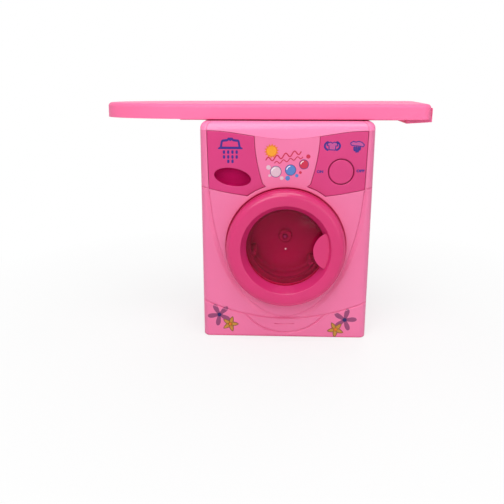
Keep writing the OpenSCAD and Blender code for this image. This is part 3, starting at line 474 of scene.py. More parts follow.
def front_sheet():
    top = [(x, wave_z(x)) for x in
           [-SIDE_RUN] + [FLAT_X * i / 46 for i in range(-46, 47)] + [SIDE_RUN]]
    outer = top + [(SIDE_RUN, z) for z in range(249, -1, -3)]
    outer += [(-SIDE_RUN, z) for z in range(0, 250, 3)]
    panels = [control_outline(), mirrored(control_outline())]
    closed = [outer] + [circle(0, DOOR_Z, WELL_R + r, 180) for r in (0, 0.12, 0.35, RIM_ROUND)]
    closed += panels + [grown(p, g) for p in panels for g in (0.08, 0.25, 0.55, RIM_ROUND)]
    opened = [[(x, z - d) for x, z in top] for d in SEAM_LINES] + shell_lines(SIDE_RUN)
    opened += [along(kick_z, -101, 101, 76, d) for d in GROOVE]
    opened += [arc(0, SWEEP_Z, SWEEP_R + d, 217, 323, 60) for d in GROOVE]
    for side in (-1, 1):
        opened += [along(control_foot_z, side * FOOT_LINE_X, side * 103.5, 14, d) for d in GROOVE]
    for off in (-STEP_IN, -1.4, -1.0, -0.65, -0.3, 0.0, 0.6, 1.3, 2.1, 3.0, 4.2, 5.6):
        line = [((STEP_HALF + off) * cos(a), STEP_MID_Z + (STEP_TALL + off) * sin(a))
                for a in [radians(180 + 2.5 * i) for i in range(73)]]
        opened.append([(x, z) for x, z in line if abs(x) < FLAT_X + 7])
    opened += [[(x, grip_z(x, share)) for x in [GRIP_HALF * i / 12 for i in range(-12, 13)]]
               for share in (-0.04, 0.04, 0.3, 0.6, 1)]
    dots = shell_dots(SIDE_RUN, range(-90, 91, 9), range(6, 250, 8), range(112, 136, 8))

    def keep(s, z):
        if abs(s) > SIDE_RUN or z < 0 or z > wave_z(s) or hypot(s, z - DOOR_Z) < WELL_R - 0.02:
            return False
        return not (z > CONTROLS_Z and abs(s) < FLAT_X + 0.2 and
                    any(inside(p, s, z) for p in panels))

    def place(s, z):
        relief = face_relief(s, z)
        if z > CONTROLS_Z and abs(s) < FLAT_X + 1:
            near = min(line_gap(p, s, z) for p in panels)
            relief = min(relief, -edge_drop(near, RIM_ROUND))
        return shell_point(s, z, relief)
    return cut_sheet(closed, opened, dots, keep, place)


def round_step(r, y, cx=0.0, cz=DOOR_Z):
    """Moves a rim's point to a circle about an axis along Y, at a depth y."""
    def step(co):
        a = atan2(co.z / MM - cz, co.x / MM - cx)
        return Vector((cx + r * cos(a), y, cz + r * sin(a))) * MM
    return step


front = front_sheet()
rim = open_rim(front, lambda co: abs(from_axis(co / MM) - WELL_R) < 0.03)
pull(front, rim, [round_step(r, y) for r, y in (
    (WELL_R, -63.2), (WELL_R, -61), (WELL_R, -58.6), (71.4, -57.6), (70.9, -57.15),
    (70.2, WELL_FLOOR_Y), (64, WELL_FLOOR_Y), (55, WELL_FLOOR_Y), (48, WELL_FLOOR_Y),
    (43, WELL_FLOOR_Y), (42.25, -56.9), (PORT_R, -56.5), (PORT_R, PORT_END_Y))])


def floor_faces(x0, x1, z0, z1):
    """Faces of the bath's floor that have their middle in a rectangle."""
    spots = [(f, f.calc_center_median() / MM) for f in front.faces]
    return [f for f, mid in spots if abs(mid.y - WELL_FLOOR_Y) < 0.02 and
            x0 < mid.x < x1 and z0 < mid.z < z1]


# The slot that takes the door's catch: the bath's floor is cut along its four edges, and
# the faces within them go.
SLOT_X, SLOT_Z = (57.6, 64.0), (DOOR_Z - 6, DOOR_Z + 6)
for way, ends in (Vector((1, 0, 0)), SLOT_X), (Vector((0, 0, 1)), SLOT_Z):
    for end in ends:
        near = floor_faces(45, WELL_R, 0, SEAM_Z)
        parts = dict.fromkeys(part for f in near for part in (*f.edges, *f.verts))
        bmesh.ops.bisect_plane(front, geom=near + list(parts), dist=1e-7,
                               plane_co=way * end * MM, plane_no=way)
bmesh.ops.delete(front, geom=floor_faces(*SLOT_X, *SLOT_Z), context="FACES")
bmesh.ops.contextual_create(front, geom=open_rim(front, lambda co: co.z < 1e-5))
front_shell = new_piece("front_shell", front, body_plastic, wall=SHELL_WALL)
# The bath's side wall gets painted shade in a deep red and a painted glow in the same red,
# which keeps the joint round the door from going black.
bath_glow_plastic = moulded_plastic("bath pink plastic with painted glow", (240, 124, 170), (234, 116, 162),
                               (150, 10, 50), glow=0.5)
# The collar round the porthole is given a deeper pink as painted shade, which keeps the floor seen
# through the window's lower rim dark.
collar_shade_plastic = moulded_plastic("collar pink plastic with painted shade", (164, 40, 98), (154, 34, 90),
                                 (110, 4, 44))
paint(front_shell, bath_glow_plastic, lambda spot: WELL_R - 1.5 < from_axis(spot) < WELL_R + 0.05 and
      -64 < spot.y < WELL_FLOOR_Y + 0.1)
paint(front_shell, collar_shade_plastic, lambda spot: from_axis(spot) < 48 and
      WELL_FLOOR_Y - 0.1 < spot.y < PORT_END_Y + 3)
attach(front_shell, "cabinet")
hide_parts("front_panel")

# ---------------------------------------------------------------------------
# Hinge lugs: two round-backed ears, moulded with the front panel on the floor of
# the well. They hold the steel hinge pin.
# ---------------------------------------------------------------------------
HINGE_X, HINGE_Y = -63.0, -72.0
KNUCKLE_R, KNUCKLE_HALF, LUG_T = 4.0, 10.7, 6.0


def upright(p):
    """Stands a lying plate up, so that its thickness runs along Y."""
    return Vector((p.x, p.z, p.y))


def join_rings(bm, rings, closed=False):
    """Fills the bands between rings of points with four-sided faces."""
    for low, high in zip(rings, rings[1:] + (rings[:1] if closed else [])):
        for i in range(len(low)):
            j = (i + 1) % len(low)
            bm.faces.new((low[i], low[j], high[j], high[i]))


def thick_plate(outline, z0, z1, round_edge=0.5, turn=None, steps=3):
    """A plate from a closed outline between two levels, with its edges rounded.
    turn() puts a point of the lying plate where it belongs."""
    bm = bmesh.new()
    if not turns_left(outline):
        outline = outline[::-1]
    levels = [(round_edge * (1 - sin(a)), z0 + round_edge * (1 - cos(a)))
              for a in spread(0, pi / 2, steps)]
    levels += [(inset, z1 - (z - z0)) for inset, z in reversed(levels)]
    rings = []
    for inset, z in levels:
        line = grown(outline, -inset) if inset > 1e-6 else outline
        rings.append([bm.verts.new((x * MM, y * MM, z * MM)) for x, y in line])
    join_rings(bm, rings)
    bm.faces.new(list(reversed(rings[0])))
    bm.faces.new(rings[-1])
    if turn:
        for v in bm.verts:
            v.co = turn(v.co / MM) * MM
        bmesh.ops.recalc_face_normals(bm, faces=bm.faces[:])
    return bm


def merged(parts):
    """One mesh from several."""
    whole = bmesh.new()
    for part in parts:
        scrap = bpy.data.meshes.new("scrap")
        part.to_mesh(scrap)
        part.free()
        whole.from_mesh(scrap)
        bpy.data.meshes.remove(scrap)
    return whole


LUG_HALF = KNUCKLE_HALF + 0.3 + LUG_T
lug_side = [(HINGE_X - KNUCKLE_R, WELL_FLOOR_Y + 0.5), (HINGE_X + KNUCKLE_R, WELL_FLOOR_Y + 0.5)]
lug_side += arc(HINGE_X, HINGE_Y, KNUCKLE_R, 0, -180, 18)
lugs = merged([thick_plate(lug_side, DOOR_Z + low, DOOR_Z + low + LUG_T)
               for low in (-LUG_HALF, KNUCKLE_HALF + 0.3)])
hinge_lugs = new_piece("hinge_lugs", lugs, body_plastic)
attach(hinge_lugs, "cabinet")

# ---------------------------------------------------------------------------
# Rear housing: the shell in the same pink that closes the cabinet from behind. Its
# back has four deep screw wells, two holes for the cover's screws and the opening
# for the batteries.
# ---------------------------------------------------------------------------
REAR_RUN = FLAT_RUN + (BACK_Y - EDGE_R - SPLIT_Y)
CASE_POINTS = [(-86, 16), (86, 16), (-86, 236), (86, 236)]
COVER_POINTS = [(-60, 243), (60, 243)]
WELL_HOLE_R, HOLE_ROUND = 3.1, 0.45
hatch_low, hatch_high = (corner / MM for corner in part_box("battery_door"))
HATCH_TOP_Z, EAR_HALF = 62.7, 5
HATCH = [(hatch_low.x, hatch_low.z), (hatch_high.x, hatch_low.z), (hatch_high.x, HATCH_TOP_Z),
         (EAR_HALF, HATCH_TOP_Z), (EAR_HALF, hatch_high.z), (-EAR_HALF, hatch_high.z),
         (-EAR_HALF, HATCH_TOP_Z), (hatch_low.x, HATCH_TOP_Z)]


def rear_sheet():
    outer = [(REAR_RUN, z) for z in range(0, 250, 3)] + [(REAR_RUN, SEAM_Z), (-REAR_RUN, SEAM_Z)]
    outer += [(-REAR_RUN, z) for z in range(249, -1, -3)]
    hatch = grown(soften(HATCH, 1.6), 0.3)
    holes = CASE_POINTS + COVER_POINTS
    closed = [outer, hatch, grown(hatch, 0.1), grown(hatch, HOLE_ROUND)]
    closed += [circle(x, z, WELL_HOLE_R + d, 36) for x, z in holes
               for d in (0, 0.1, HOLE_ROUND, 1.4)]
    opened = shell_lines(REAR_RUN) + [[(-REAR_RUN, SEAM_Z - d), (REAR_RUN, SEAM_Z - d)]
                                      for d in SEAM_LINES]
    dots = shell_dots(REAR_RUN, range(-90, 91, 10), range(7, 250, 9), range(112, 190, 10))

    def keep(s, z):
        if abs(s) > REAR_RUN or z < 0 or z > SEAM_Z or inside(hatch, s, z):
            return False
        return all(hypot(s - x, z - h) > WELL_HOLE_R - 0.02 for x, h in holes)

    def place(s, z):
        near = min(hypot(s - x, z - h) - WELL_HOLE_R for x, h in holes)
        if abs(s) < 40 and z < 80:
            near = min(near, line_gap(hatch, s, z))
        drop = shell_drop(s, z, REAR_RUN, SEAM_Z) + edge_drop(near, HOLE_ROUND)
        return shell_point(s, z, -drop, back=True)
    return cut_sheet(closed, opened, dots, keep, place)


rear = rear_sheet()
for points, floor_y in (CASE_POINTS, SPLIT_Y + 3), (COVER_POINTS, BACK_Y - 1.6):
    for x, z in points:
        rim = open_rim(rear, lambda co: abs(hypot(co.x / MM + x, co.z / MM - z) -
                                            WELL_HOLE_R) < 0.03)
        pull(rear, rim, [round_step(WELL_HOLE_R, floor_y + 0.4, -x, z),
                         round_step(WELL_HOLE_R - 0.4, floor_y, -x, z)], close=True)
bmesh.ops.contextual_create(rear, geom=open_rim(rear, lambda co: co.z < 1e-5))
rear_shell = new_piece("rear_shell", rear, body_plastic, wall=SHELL_WALL)
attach(rear_shell, "cabinet")
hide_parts("rear_housing")


def tree_for(name, inputs):
    """A Geometry Nodes tree with a geometry input and output and the named inputs."""
    tree = bpy.data.node_groups.new(name, "GeometryNodeTree")
    tree.interface.new_socket("Geometry", in_out="INPUT", socket_type="NodeSocketGeometry")
    for label, kind in inputs.items():
        tree.interface.new_socket(label, in_out="INPUT", socket_type="NodeSocket" + kind)
    tree.interface.new_socket("Geometry", in_out="OUTPUT", socket_type="NodeSocketGeometry")
    return tree, tree.nodes.new("NodeGroupInput").outputs


def finish_tree(tree, given, points, instance, **more):
    """Ends a tree: copies of an instance on points, made real and given the finish."""
    copies = add_node(tree, "GeometryNodeInstanceOnPoints", Points=points, Instance=instance,
                      **more)
    real = add_node(tree, "GeometryNodeRealizeInstances", Geometry=copies.outputs[0])
    done = add_node(tree, "GeometryNodeSetMaterial", Geometry=real.outputs[0],
                    Material=given["Finish"])
    add_node(tree, "NodeGroupOutput", {}, done.outputs[0])


def run_tree(obj, tree, values):
    """Puts a tree on an object, with a value for each of its inputs."""
    modifier = obj.modifiers.new("tree", "NODES")
    modifier.node_group = tree
    for item in tree.interface.items_tree:
        if item.in_out == "INPUT" and item.name in values:
            modifier[item.identifier] = values[item.name]


def taken_mesh(obj):
    """An object's mesh once its modifiers have worked; the object itself goes."""
    bake_mesh(obj)
    result = bmesh.new()
    result.from_mesh(obj.data)
    bpy.data.objects.remove(obj)
    return result


def grown_by_tree(name, bm, tree, **values):
    """Runs a tree on a mesh and returns the plain mesh that it makes."""
    obj = new_object(name, bm)
    run_tree(obj, tree, {key.replace("_", " "): value for key, value in values.items()})
    return taken_mesh(obj)


# Battery door: a flat plate with a screw ear, its edges broken, and a grip of five
# short ribs near its lower edge, which the tree sets out one above the other.
rib_tree, given = tree_for("ribs in a column", {"Count": "Int", "Step": "Float",
                                                "Finish": "Material"})
rib_step = add_node(rib_tree, "ShaderNodeCombineXYZ", Z=given["Step"])
rib_places = add_node(rib_tree, "GeometryNodeMeshLine", Count=given["Count"],
                      Offset=rib_step.outputs[0])
finish_tree(rib_tree, given, rib_places.outputs[0], given["Geometry"])

HATCH_T, RIB_COUNT, RIB_STEP, RIB_LIFT, RIB_START = 2.1, 5, 2.6, 0.6, 6.0
RIB_HALF, RIB_HALF_Z = 9.0, 0.6


def on_hatch(p):
    return Vector((-p.x, BACK_Y - HATCH_T + p.z, p.y))


hatch_plate = thick_plate(soften(HATCH, 1.4), 0, HATCH_T, 0.4, turn=on_hatch)
rib_z = hatch_low.z + RIB_START
rib = thick_plate([(-RIB_HALF, rib_z - RIB_HALF_Z), (RIB_HALF, rib_z - RIB_HALF_Z),
                   (RIB_HALF, rib_z + RIB_HALF_Z), (-RIB_HALF, rib_z + RIB_HALF_Z)],
                  HATCH_T - 0.2, HATCH_T + RIB_LIFT, 0.25, turn=on_hatch)
ribs = grown_by_tree("hatch_ribs", rib, rib_tree, Count=RIB_COUNT, Step=RIB_STEP * MM,
                     Finish=body_plastic)
battery_lid = new_piece("battery_lid", merged([hatch_plate, ribs]), body_plastic)
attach(battery_lid, "cabinet")
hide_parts("battery_door")

# ---------------------------------------------------------------------------
# Works behind the drum: natural white gear plates and gears, a tin-plate motor,
# three cells in a white tray and red wire. Their solids are shown as they are.
# ---------------------------------------------------------------------------


def works_finish(name, colour, metal, rough, streak, streak_scale):
    """A metal or a white moulding, with streaks or grain that vary its gloss."""
    mat, tree, shader = new_material(name)
    where = add_node(tree, "ShaderNodeTexCoord").outputs["Object"]
    turn = add_node(tree, "ShaderNodeMapping", Vector=where, Scale=streak_scale)
    noise = add_node(tree, "ShaderNodeTexNoise", Vector=turn.outputs["Vector"], Scale=streak,
                     Detail=4).outputs["Fac"]
    feed(shader, Base_Color=two_tones(tree, noise, plain(colour, 0.86), plain(colour)),
         Metallic=metal, Roughness=in_range(tree, noise, rough, rough + 0.18),
         Normal=bump_of(tree, noise, 0.25, 0.00003))
    return mat


steel = works_finish("bright steel", (196, 198, 204), 1, 0.22, 60, (1, 12, 1))
brass = works_finish("brass", (212, 170, 92), 1, 0.25, 80, (1, 10, 1))
natural_white = works_finish("natural white nylon", (233, 232, 226), 0, 0.35, 120, (1, 1, 1))
cell_wrap = works_finish("grey cell wrap", (92, 96, 104), 0.3, 0.3, 40, (1, 1, 1))
wire_red = works_finish("red wire cover", (176, 28, 36), 0, 0.35, 90, (1, 1, 1))
WORKS = [
    (natural_white, ("gearbox_front_plate", "gearbox_rear_plate", "drum_gear", "idler_gear",
                     "battery_tray", "dial_switch", "dial_cam")),
    (steel, ("hinge_pin", "idler_axle", "motor", "motor_strap", "battery_contacts", "drum_shaft",
             "motor_shaft")),
    (brass, ("drum_bush", "pinion")), (cell_wrap, ("batteries",)), (wire_red, ("wiring",))]
for finish, node_names in WORKS:
    for node_name in node_names:
        solid = nodes[node_name]
        if not solid.material_slots:
            solid.data.materials.append(finish)
        for place in solid.material_slots:
            place.material = finish

# ---------------------------------------------------------------------------
# Drum: a deep pink basket moulded 1.6 mm thick, screwed to the drum's shaft. Its
# back carries the hub and its wall three lifters.
# ---------------------------------------------------------------------------
DRUM_R, DRUM_WALL, DRUM_LIP = 50.0, 1.6, 4.0
DRUM_FRONT_Y, DRUM_BACK_Y = -46.0, -5.0


def turned_mesh(profile, count=144, closed=True):
    """Turns a profile of (radius, y) about the door's axis. Points on the axis become poles."""
    bm = bmesh.new()
    rings = []
    for r, y in profile:
        spots = [(0, DOOR_Z)] if r < 1e-6 else circle(0, DOOR_Z, r, count)
        rings.append([bm.verts.new((x * MM, y * MM, z * MM)) for x, z in spots])
    for low, high in zip(rings, rings[1:]):
        if len(low) == len(high):
            join_rings(bm, [low, high])
            continue
        for i in range(count):
            j = (i + 1) % count
            bm.faces.new((low[0], high[j], high[i]) if len(low) == 1 else (low[i], low[j], high[0]))
    if closed:
        join_rings(bm, [rings[-1], rings[0]])
    bmesh.ops.recalc_face_normals(bm, faces=bm.faces[:])
    return bm


in_r, in_y = DRUM_R - DRUM_WALL, DRUM_BACK_Y - DRUM_WALL
lip_r = DRUM_R - DRUM_LIP
drum_skin = [(0, DRUM_BACK_Y), (47, DRUM_BACK_Y)]
drum_skin += arc(DRUM_R - 2.5, DRUM_BACK_Y - 2.5, 2.5, 90, 0, 5)
drum_skin += arc(DRUM_R - 2.2, DRUM_FRONT_Y + 2.2, 2.2, 0, -90, 5)
drum_skin += [(lip_r + 0.6, DRUM_FRONT_Y), (lip_r, DRUM_FRONT_Y + 0.6),
              (lip_r, DRUM_FRONT_Y + 1.2), (lip_r + 0.6, DRUM_FRONT_Y + DRUM_WALL)]
drum_skin += arc(in_r - 1.4, DRUM_FRONT_Y + DRUM_WALL + 1.4, 1.4, -90, 0, 4)
drum_skin += arc(in_r - 4, in_y - 4, 4, 0, 90, 6)
drum_skin += [(26, in_y), (9.2, in_y), (8.2, in_y - 0.6), (8, in_y - 4.2), (7.2, in_y - 5),
              (4.6, in_y - 5), (4.2, in_y - 4.4), (0, in_y - 4.4)]
drum_shell = turned_mesh(drum_skin, closed=False)
drum_plastic = moulded_plastic("drum pink plastic", (222, 88, 158), (210, 76, 146),
                               (150, 6, 70), rough=0.34, reach=0.02)

# The lifters: one paddle is laid out, and the tree copies it round the wall.
LIFTER_COUNT, LIFTER_FIRST, LIFTER_H, LIFTER_NOSE = 3, 80.0, 10.0, 2.4
lifter_tree, given = tree_for("lifters round the drum", {
    "Count": "Int", "First Angle": "Float", "Finish": "Material"})
step_angle = sum_of(lifter_tree, "DIVIDE", -2 * pi, given["Count"])
which = add_node(lifter_tree, "GeometryNodeInputIndex").outputs[0]
spin = add_node(lifter_tree, "ShaderNodeCombineXYZ",
                Y=sum_of(lifter_tree, "MULTIPLY_ADD", which, step_angle, given["First Angle"]))
places = add_node(lifter_tree, "GeometryNodePoints", Count=given["Count"])
finish_tree(lifter_tree, given, places.outputs[0], given["Geometry"], Rotation=spin.outputs[0])

lifter_side = [(in_r + 0.4, -5.6), (in_r + 0.4, 5.6), (in_r - 2, 4.4), (in_r - 6, 3.2),
               (in_r - 8.6, 2.6)]
lifter_side += arc(in_r - LIFTER_H + LIFTER_NOSE, 0, -LIFTER_NOSE, -60, 60, 6)
lifter_side += [(in_r - 8.6, -2.6), (in_r - 6, -3.2), (in_r - 2, -4.4)]
lifter = thick_plate(lifter_side, DRUM_FRONT_Y + 1.4, DRUM_BACK_Y - 1.4, turn=upright)
paddles = grown_by_tree("lifters", lifter, lifter_tree, Count=LIFTER_COUNT,
                        First_Angle=-radians(LIFTER_FIRST), Finish=drum_plastic)
for v in paddles.verts:
    v.co.z += DOOR_Z * MM
drum_basket = new_piece("drum_basket", merged([drum_shell, paddles]), drum_plastic)
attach(drum_basket, "drum")
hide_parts("drum")

# ---------------------------------------------------------------------------
# Top cover: a lighter pink moulding clipped and screwed over the cabinet. Its
# front edge dips in a wave, and a crease runs up it above each upright pillar.
# ---------------------------------------------------------------------------
COVER_TOP_Z, COVER_ROLL, CORNER_ROLL, COVER_WALL = 262.6, 10.0, 7.6, 2.0
CREASE_IN, CREASE_DOWN = 0.45, 0.3
SOCKET_X, SOCKET_R, SOCKET_DEEP, SOCKET_ROUND = 60.0, 4.3, 11.0, 0.5
cover_plastic = moulded_plastic("cover pink plastic", (252, 138, 185), (247, 129, 177),
                                (222, 40, 110), rough=0.26)


def cover_half(z):
    """Half width and half depth of the cover at a height."""
    up_y, up_x = max(z - SEAM_Z, 0), max(z - (COVER_TOP_Z - CORNER_ROLL), 0)
    return (SIDE_X - CORNER_ROLL + sqrt(max(CORNER_ROLL ** 2 - up_x * up_x, 0)),
            BACK_Y - COVER_ROLL + sqrt(max(COVER_ROLL ** 2 - up_y * up_y, 0)))


def cover_spots():
    """Places round the cover: a side and how far along it, or a corner and its angle."""
    fine = (0.987, 0.993, 0.9965, 1)
    spots = [("front", f) for f in
             [-f for f in reversed(fine)] + [i / 30 for i in range(-29, 30)] + list(fine)]
    turns = (12, 24, 38, 52, 66, 78)
    run = (0.9, 0.6, 0.3, 0, -0.3, -0.6, -0.9, -1)
    spots += [((1, -1), a) for a in (4, *turns, 90)] + [("right", -f) for f in run]
    spots += [((1, 1), a) for a in (*turns, 90)] + [("back", f) for f in run]
    spots += [((-1, 1), a) for a in (*turns, 90)] + [("left", f) for f in run]
    return spots + [((-1, -1), a) for a in (*turns, 86)]


def cover_ring(level):
    """Points round the cover at one level; level gives each point its height and inset."""
    points = []
    for side, at in cover_spots():
        z, inset = level(FLAT_X * at if side == "front" else FLAT_X)
        half_x, half_y = (half - inset for half in cover_half(z))
        r = EDGE_R - inset
        if side == "front":
            crease = abs(at) == 0.9965
            fade = min(max((z - SEAM_Z) / 8, 0), 1)
            points.append((at * (half_x - r), -half_y + crease * CREASE_IN,
                           z - crease * CREASE_DOWN * fade))
        elif side == "back":
            points.append((at * (half_x - r), half_y, z))
        elif side in ("right", "left"):
            points.append((half_x if side == "right" else -half_x, at * (half_y - r), z))
        else:
            sx, sy = side
            u, v = cos(radians(at)), sin(radians(at))
            if sx * sy < 0:
                u, v = v, u
            points.append((sx * (half_x - r + r * u), sy * (half_y - r + r * v), z))
    return points


# Heights and insets from the lower edge up to the flat top, for a distance from the middle.
cover_levels = [lambda x, d=d, i=i: (wave_z(x) + d, i)
                for d, i in ((0, 0.35), (0.06, 0.16), (0.18, 0.05), (0.4, 0))]
cover_levels += [lambda x, t=t: (wave_z(x) + 0.4 + (SEAM_Z + 0.7 - wave_z(x) - 0.4) * t, 0)
                 for t in (0.25, 0.5, 0.75, 1)]
cover_levels += [lambda _, z=z: (z, 0) for z in
                 [SEAM_Z + COVER_ROLL * sin(radians(a)) for a in range(8, 91, 6)] + [COVER_TOP_Z]]
cover = bmesh.new()
rings = [[cover.verts.new(Vector(p) * MM) for p in cover_ring(level)] for level in cover_levels]
join_rings(cover, rings)
cover_rim = [(v.co.x / MM, v.co.y / MM) for v in rings[-1]]
sockets = [circle(side * SOCKET_X, 0, SOCKET_R, 32) for side in (-1, 1)]


def socket_gap(x, y):
    """Distance from the rim of the nearer peg socket."""
    return hypot(abs(x) - SOCKET_X, y) - SOCKET_R


def on_lid(x, y):
    return Vector((x, y, COVER_TOP_Z - edge_drop(socket_gap(x, y), SOCKET_ROUND))) * MM


socket_rounds = [grown(s, d) for s in sockets for d in (0.15, SOCKET_ROUND)]
lid = cut_sheet([cover_rim] + sockets + socket_rounds, [],
                [(x, y) for x in range(-80, 81, 10) for y in range(-45, 46, 10)],
                lambda x, y: inside(cover_rim, x, y) and socket_gap(x, y) > -0.02, on_lid)
for side in (-1, 1):
    rim = open_rim(lid, lambda co: hypot(co.x / MM - side * SOCKET_X, co.y / MM) < SOCKET_R + 0.05)
    pull(lid, rim, [lambda co: Vector((co.x, co.y, (COVER_TOP_Z - SOCKET_DEEP) * MM))], close=True)
cover = merged([cover, lid])
bmesh.ops.remove_doubles(cover, verts=cover.verts[:], dist=2e-6)
bmesh.ops.recalc_face_normals(cover, faces=cover.faces[:])
cover_shell = new_piece("cover_shell", cover, cover_plastic, wall=COVER_WALL)
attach(cover_shell, "cabinet")
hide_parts("top_cover")

# ---------------------------------------------------------------------------
# Control panels: two dark pink insets, snapped in flush. The left one has an oval
# scoop for the fingers, the right one a round opening for the dial.
# ---------------------------------------------------------------------------
PANEL_GAP, PANEL_WALL, PANEL_ROUND, SCOOP_ROUND, DIAL_ROUND = 0.25, 1.6, 0.9, 0.8, 1.2
DIAL_X, DIAL_Z, DIAL_R, DIAL_GROOVE = 62.4, 206.2, 14.0, 0.9
SCOOP_X, SCOOP_Z, SCOOP_W, SCOOP_H, SCOOP_TILT = -62.6, 199.2, 43.0, 20.6, -9.5
SCOOP_LIP, SCOOP_DEEP = 0.9, 10.5
panel_plastic = moulded_plastic("dark pink plastic", (212, 56, 124), (204, 49, 116),
                                (128, 0, 46), reach=0.02)


def panel_sheet(outline, hole, hole_gap, hole_round):
    """A panel's face, with a round at its own edge and another at its hole's."""
    closed = [outline] + [grown(outline, -d) for d in (0.07, 0.22, 0.5, PANEL_ROUND)]
    closed += [hole] + [grown(hole, share * hole_round) for share in (0.08, 0.3, 0.6, 1)]
    across, up = (range(int(min(p[k] for p in outline)) + 3, int(max(p[k] for p in outline)) - 1, 5)
                  for k in (0, 1))
    return cut_sheet(closed, [], [(x, z) for x in across for z in up],
                     lambda x, z: inside(outline, x, z) and not inside(hole, x, z),
                     lambda x, z: shell_point(x, z, -max(
                         edge_drop(line_gap(outline, x, z), PANEL_ROUND),
                         edge_drop(hole_gap(x, z), hole_round))))


def oval(cx, cz, a, b, tilt, count):
    t = radians(tilt)
    return [(cx + a * cos(u) * cos(t) - b * sin(u) * sin(t),
             cz + a * cos(u) * sin(t) + b * sin(u) * cos(t))
            for u in spread(0, 2 * pi, count, last=1)]


scoop = oval(SCOOP_X, SCOOP_Z, SCOOP_W / 2, SCOOP_H / 2, SCOOP_TILT, 96)
left = panel_sheet(mirrored(control_outline(PANEL_GAP)), scoop,
                   lambda x, z: line_gap(scoop, x, z), SCOOP_ROUND)
rim = open_rim(left, lambda co: line_gap(scoop, co.x / MM, co.z / MM) < 0.05)


def scoop_step(ratio, deep):
    """Draws the scoop's rim in by a ratio, down at a depth."""
    def step(co):
        flat = co / MM
        return Vector((SCOOP_X + (flat.x - SCOOP_X) * ratio, FRONT_Y + deep,
                       SCOOP_Z + (flat.z - SCOOP_Z) * ratio)) * MM
    return step


shares = [1.0, 0.995, 0.985, 0.965, 0.93, 0.87, 0.78, 0.66, 0.5, 0.34, 0.18, 0.02]
depths = [SCOOP_LIP + (SCOOP_DEEP - SCOOP_LIP) * sqrt(1 - share ** 6) for share in shares]
pull(left, rim, [scoop_step(share / last, deep) for last, share, deep in
                 zip([1.0] + shares, shares, depths)], close=True)
left_panel = new_piece("left_panel", left, panel_plastic, wall=PANEL_WALL)
# The scoop's inside is rougher and less glossy, and its deeper, darker pink and stronger occlusion
# darkening are painted shade in the deep pocket.
pocket_shade_plastic = moulded_plastic("matte pocket plastic with painted shade", (214, 14, 108), (200, 8, 96),
                                 (112, 0, 34), rough=0.6, reach=0.02, shut=0.25, gleam=0.08)
paint(left_panel, pocket_shade_plastic,
      lambda spot: spot.y > FRONT_Y + 0.85 and inside(scoop, spot.x, spot.z))
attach(left_panel, "cabinet")
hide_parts("left_control_panel")

DIAL_HOLE_R = DIAL_R + DIAL_GROOVE
right = panel_sheet(control_outline(PANEL_GAP), circle(DIAL_X, DIAL_Z, DIAL_HOLE_R),
                    lambda x, z: abs(hypot(x - DIAL_X, z - DIAL_Z) - DIAL_HOLE_R), DIAL_ROUND)
rim = open_rim(right, lambda co: hypot(co.x / MM - DIAL_X, co.z / MM - DIAL_Z) < DIAL_HOLE_R + 0.05)
pull(right, rim, [round_step(r, y, DIAL_X, DIAL_Z) for r, y in
                  ((DIAL_HOLE_R, -63.1), (DIAL_HOLE_R - 0.2, -62.85), (12.0, -62.85))])
right_panel = new_piece("right_panel", right, panel_plastic, wall=PANEL_WALL)
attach(right_panel, "cabinet")
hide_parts("right_control_panel")

# ---------------------------------------------------------------------------
# Dial: a plain flush disc with a hub behind it, screwed to the cam that works the
# switch. It turns half a turn from OFF to ON.
# ---------------------------------------------------------------------------
HUB_R, HUB_Y = 5, FRONT_Y + 5.1
disc = [(0, FRONT_Y), (7, FRONT_Y), (DIAL_R - 1.8, FRONT_Y)]
disc += arc(DIAL_R - 1.2, FRONT_Y + 1.2, 1.2, -90, 0, 7)
disc += [(DIAL_R, FRONT_Y + 1.7), (DIAL_R - 0.2, FRONT_Y + 1.9), (HUB_R, FRONT_Y + 1.9),
         (HUB_R, HUB_Y), (0, HUB_Y)]
dial = turned_mesh(disc, 96, closed=False)
for v in dial.verts:
    v.co += Vector((DIAL_X, 0, DIAL_Z - DOOR_Z)) * MM
dial_disc = new_piece("dial_disc", dial, panel_plastic)
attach(dial_disc, "dial")
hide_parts("program_dial")

# ---------------------------------------------------------------------------
# Door: a hollow ring in glossy dark pink with a rounded outer edge and a cone that
# leads in to the window. Its knuckle turns on the hinge pin at the left.
# ---------------------------------------------------------------------------
RING_R, RING_OUT, RING_REAR, RIM_R, WINDOW_R = 70.2, 19.0, -4.5, 52.4, 47.0
ring_plastic = moulded_plastic("ring pink plastic", (214, 48, 114), (206, 42, 107),
                               (192, 24, 88), rough=0.2)


def out(profile):
    """A profile of (radius, distance in front of the cabinet), as (radius, y)."""
    return [(r, FRONT_Y - d) for r, d in profile]


ring_skin = [(RING_R - 0.3, RING_REAR), (RING_R, RING_REAR + 0.3), (RING_R, 4),
             (RING_R, RING_OUT - 8)]
ring_skin += arc(RING_R - 7.5, RING_OUT - 7.6, 7.5, 6, 86, 14)
ring_skin += [(60.5, 18.98), (58, 18.9), (55.5, 18.6)]
ring_skin += arc(RIM_R + 1.9, 16.75, 1.75, 95, 160, 6)
ring_skin += [(RIM_R - 0.4, 15.6), (WINDOW_R + 1.2, 8.2), (WINDOW_R + 0.35, 6.6), (WINDOW_R, 5.9),
              (WINDOW_R, 4.5), (53.5, 4.5), (53.5, 6.4), (50.5, 6.6), (54.8, 15.6), (56, 16.4),
              (61.5, 16.4), (65, 14.6), (67, 11.6), (67.6, 9), (67.6, RING_REAR + 0.2),
              (67.8, RING_REAR)]
ring = turned_mesh(out(ring_skin), 192)
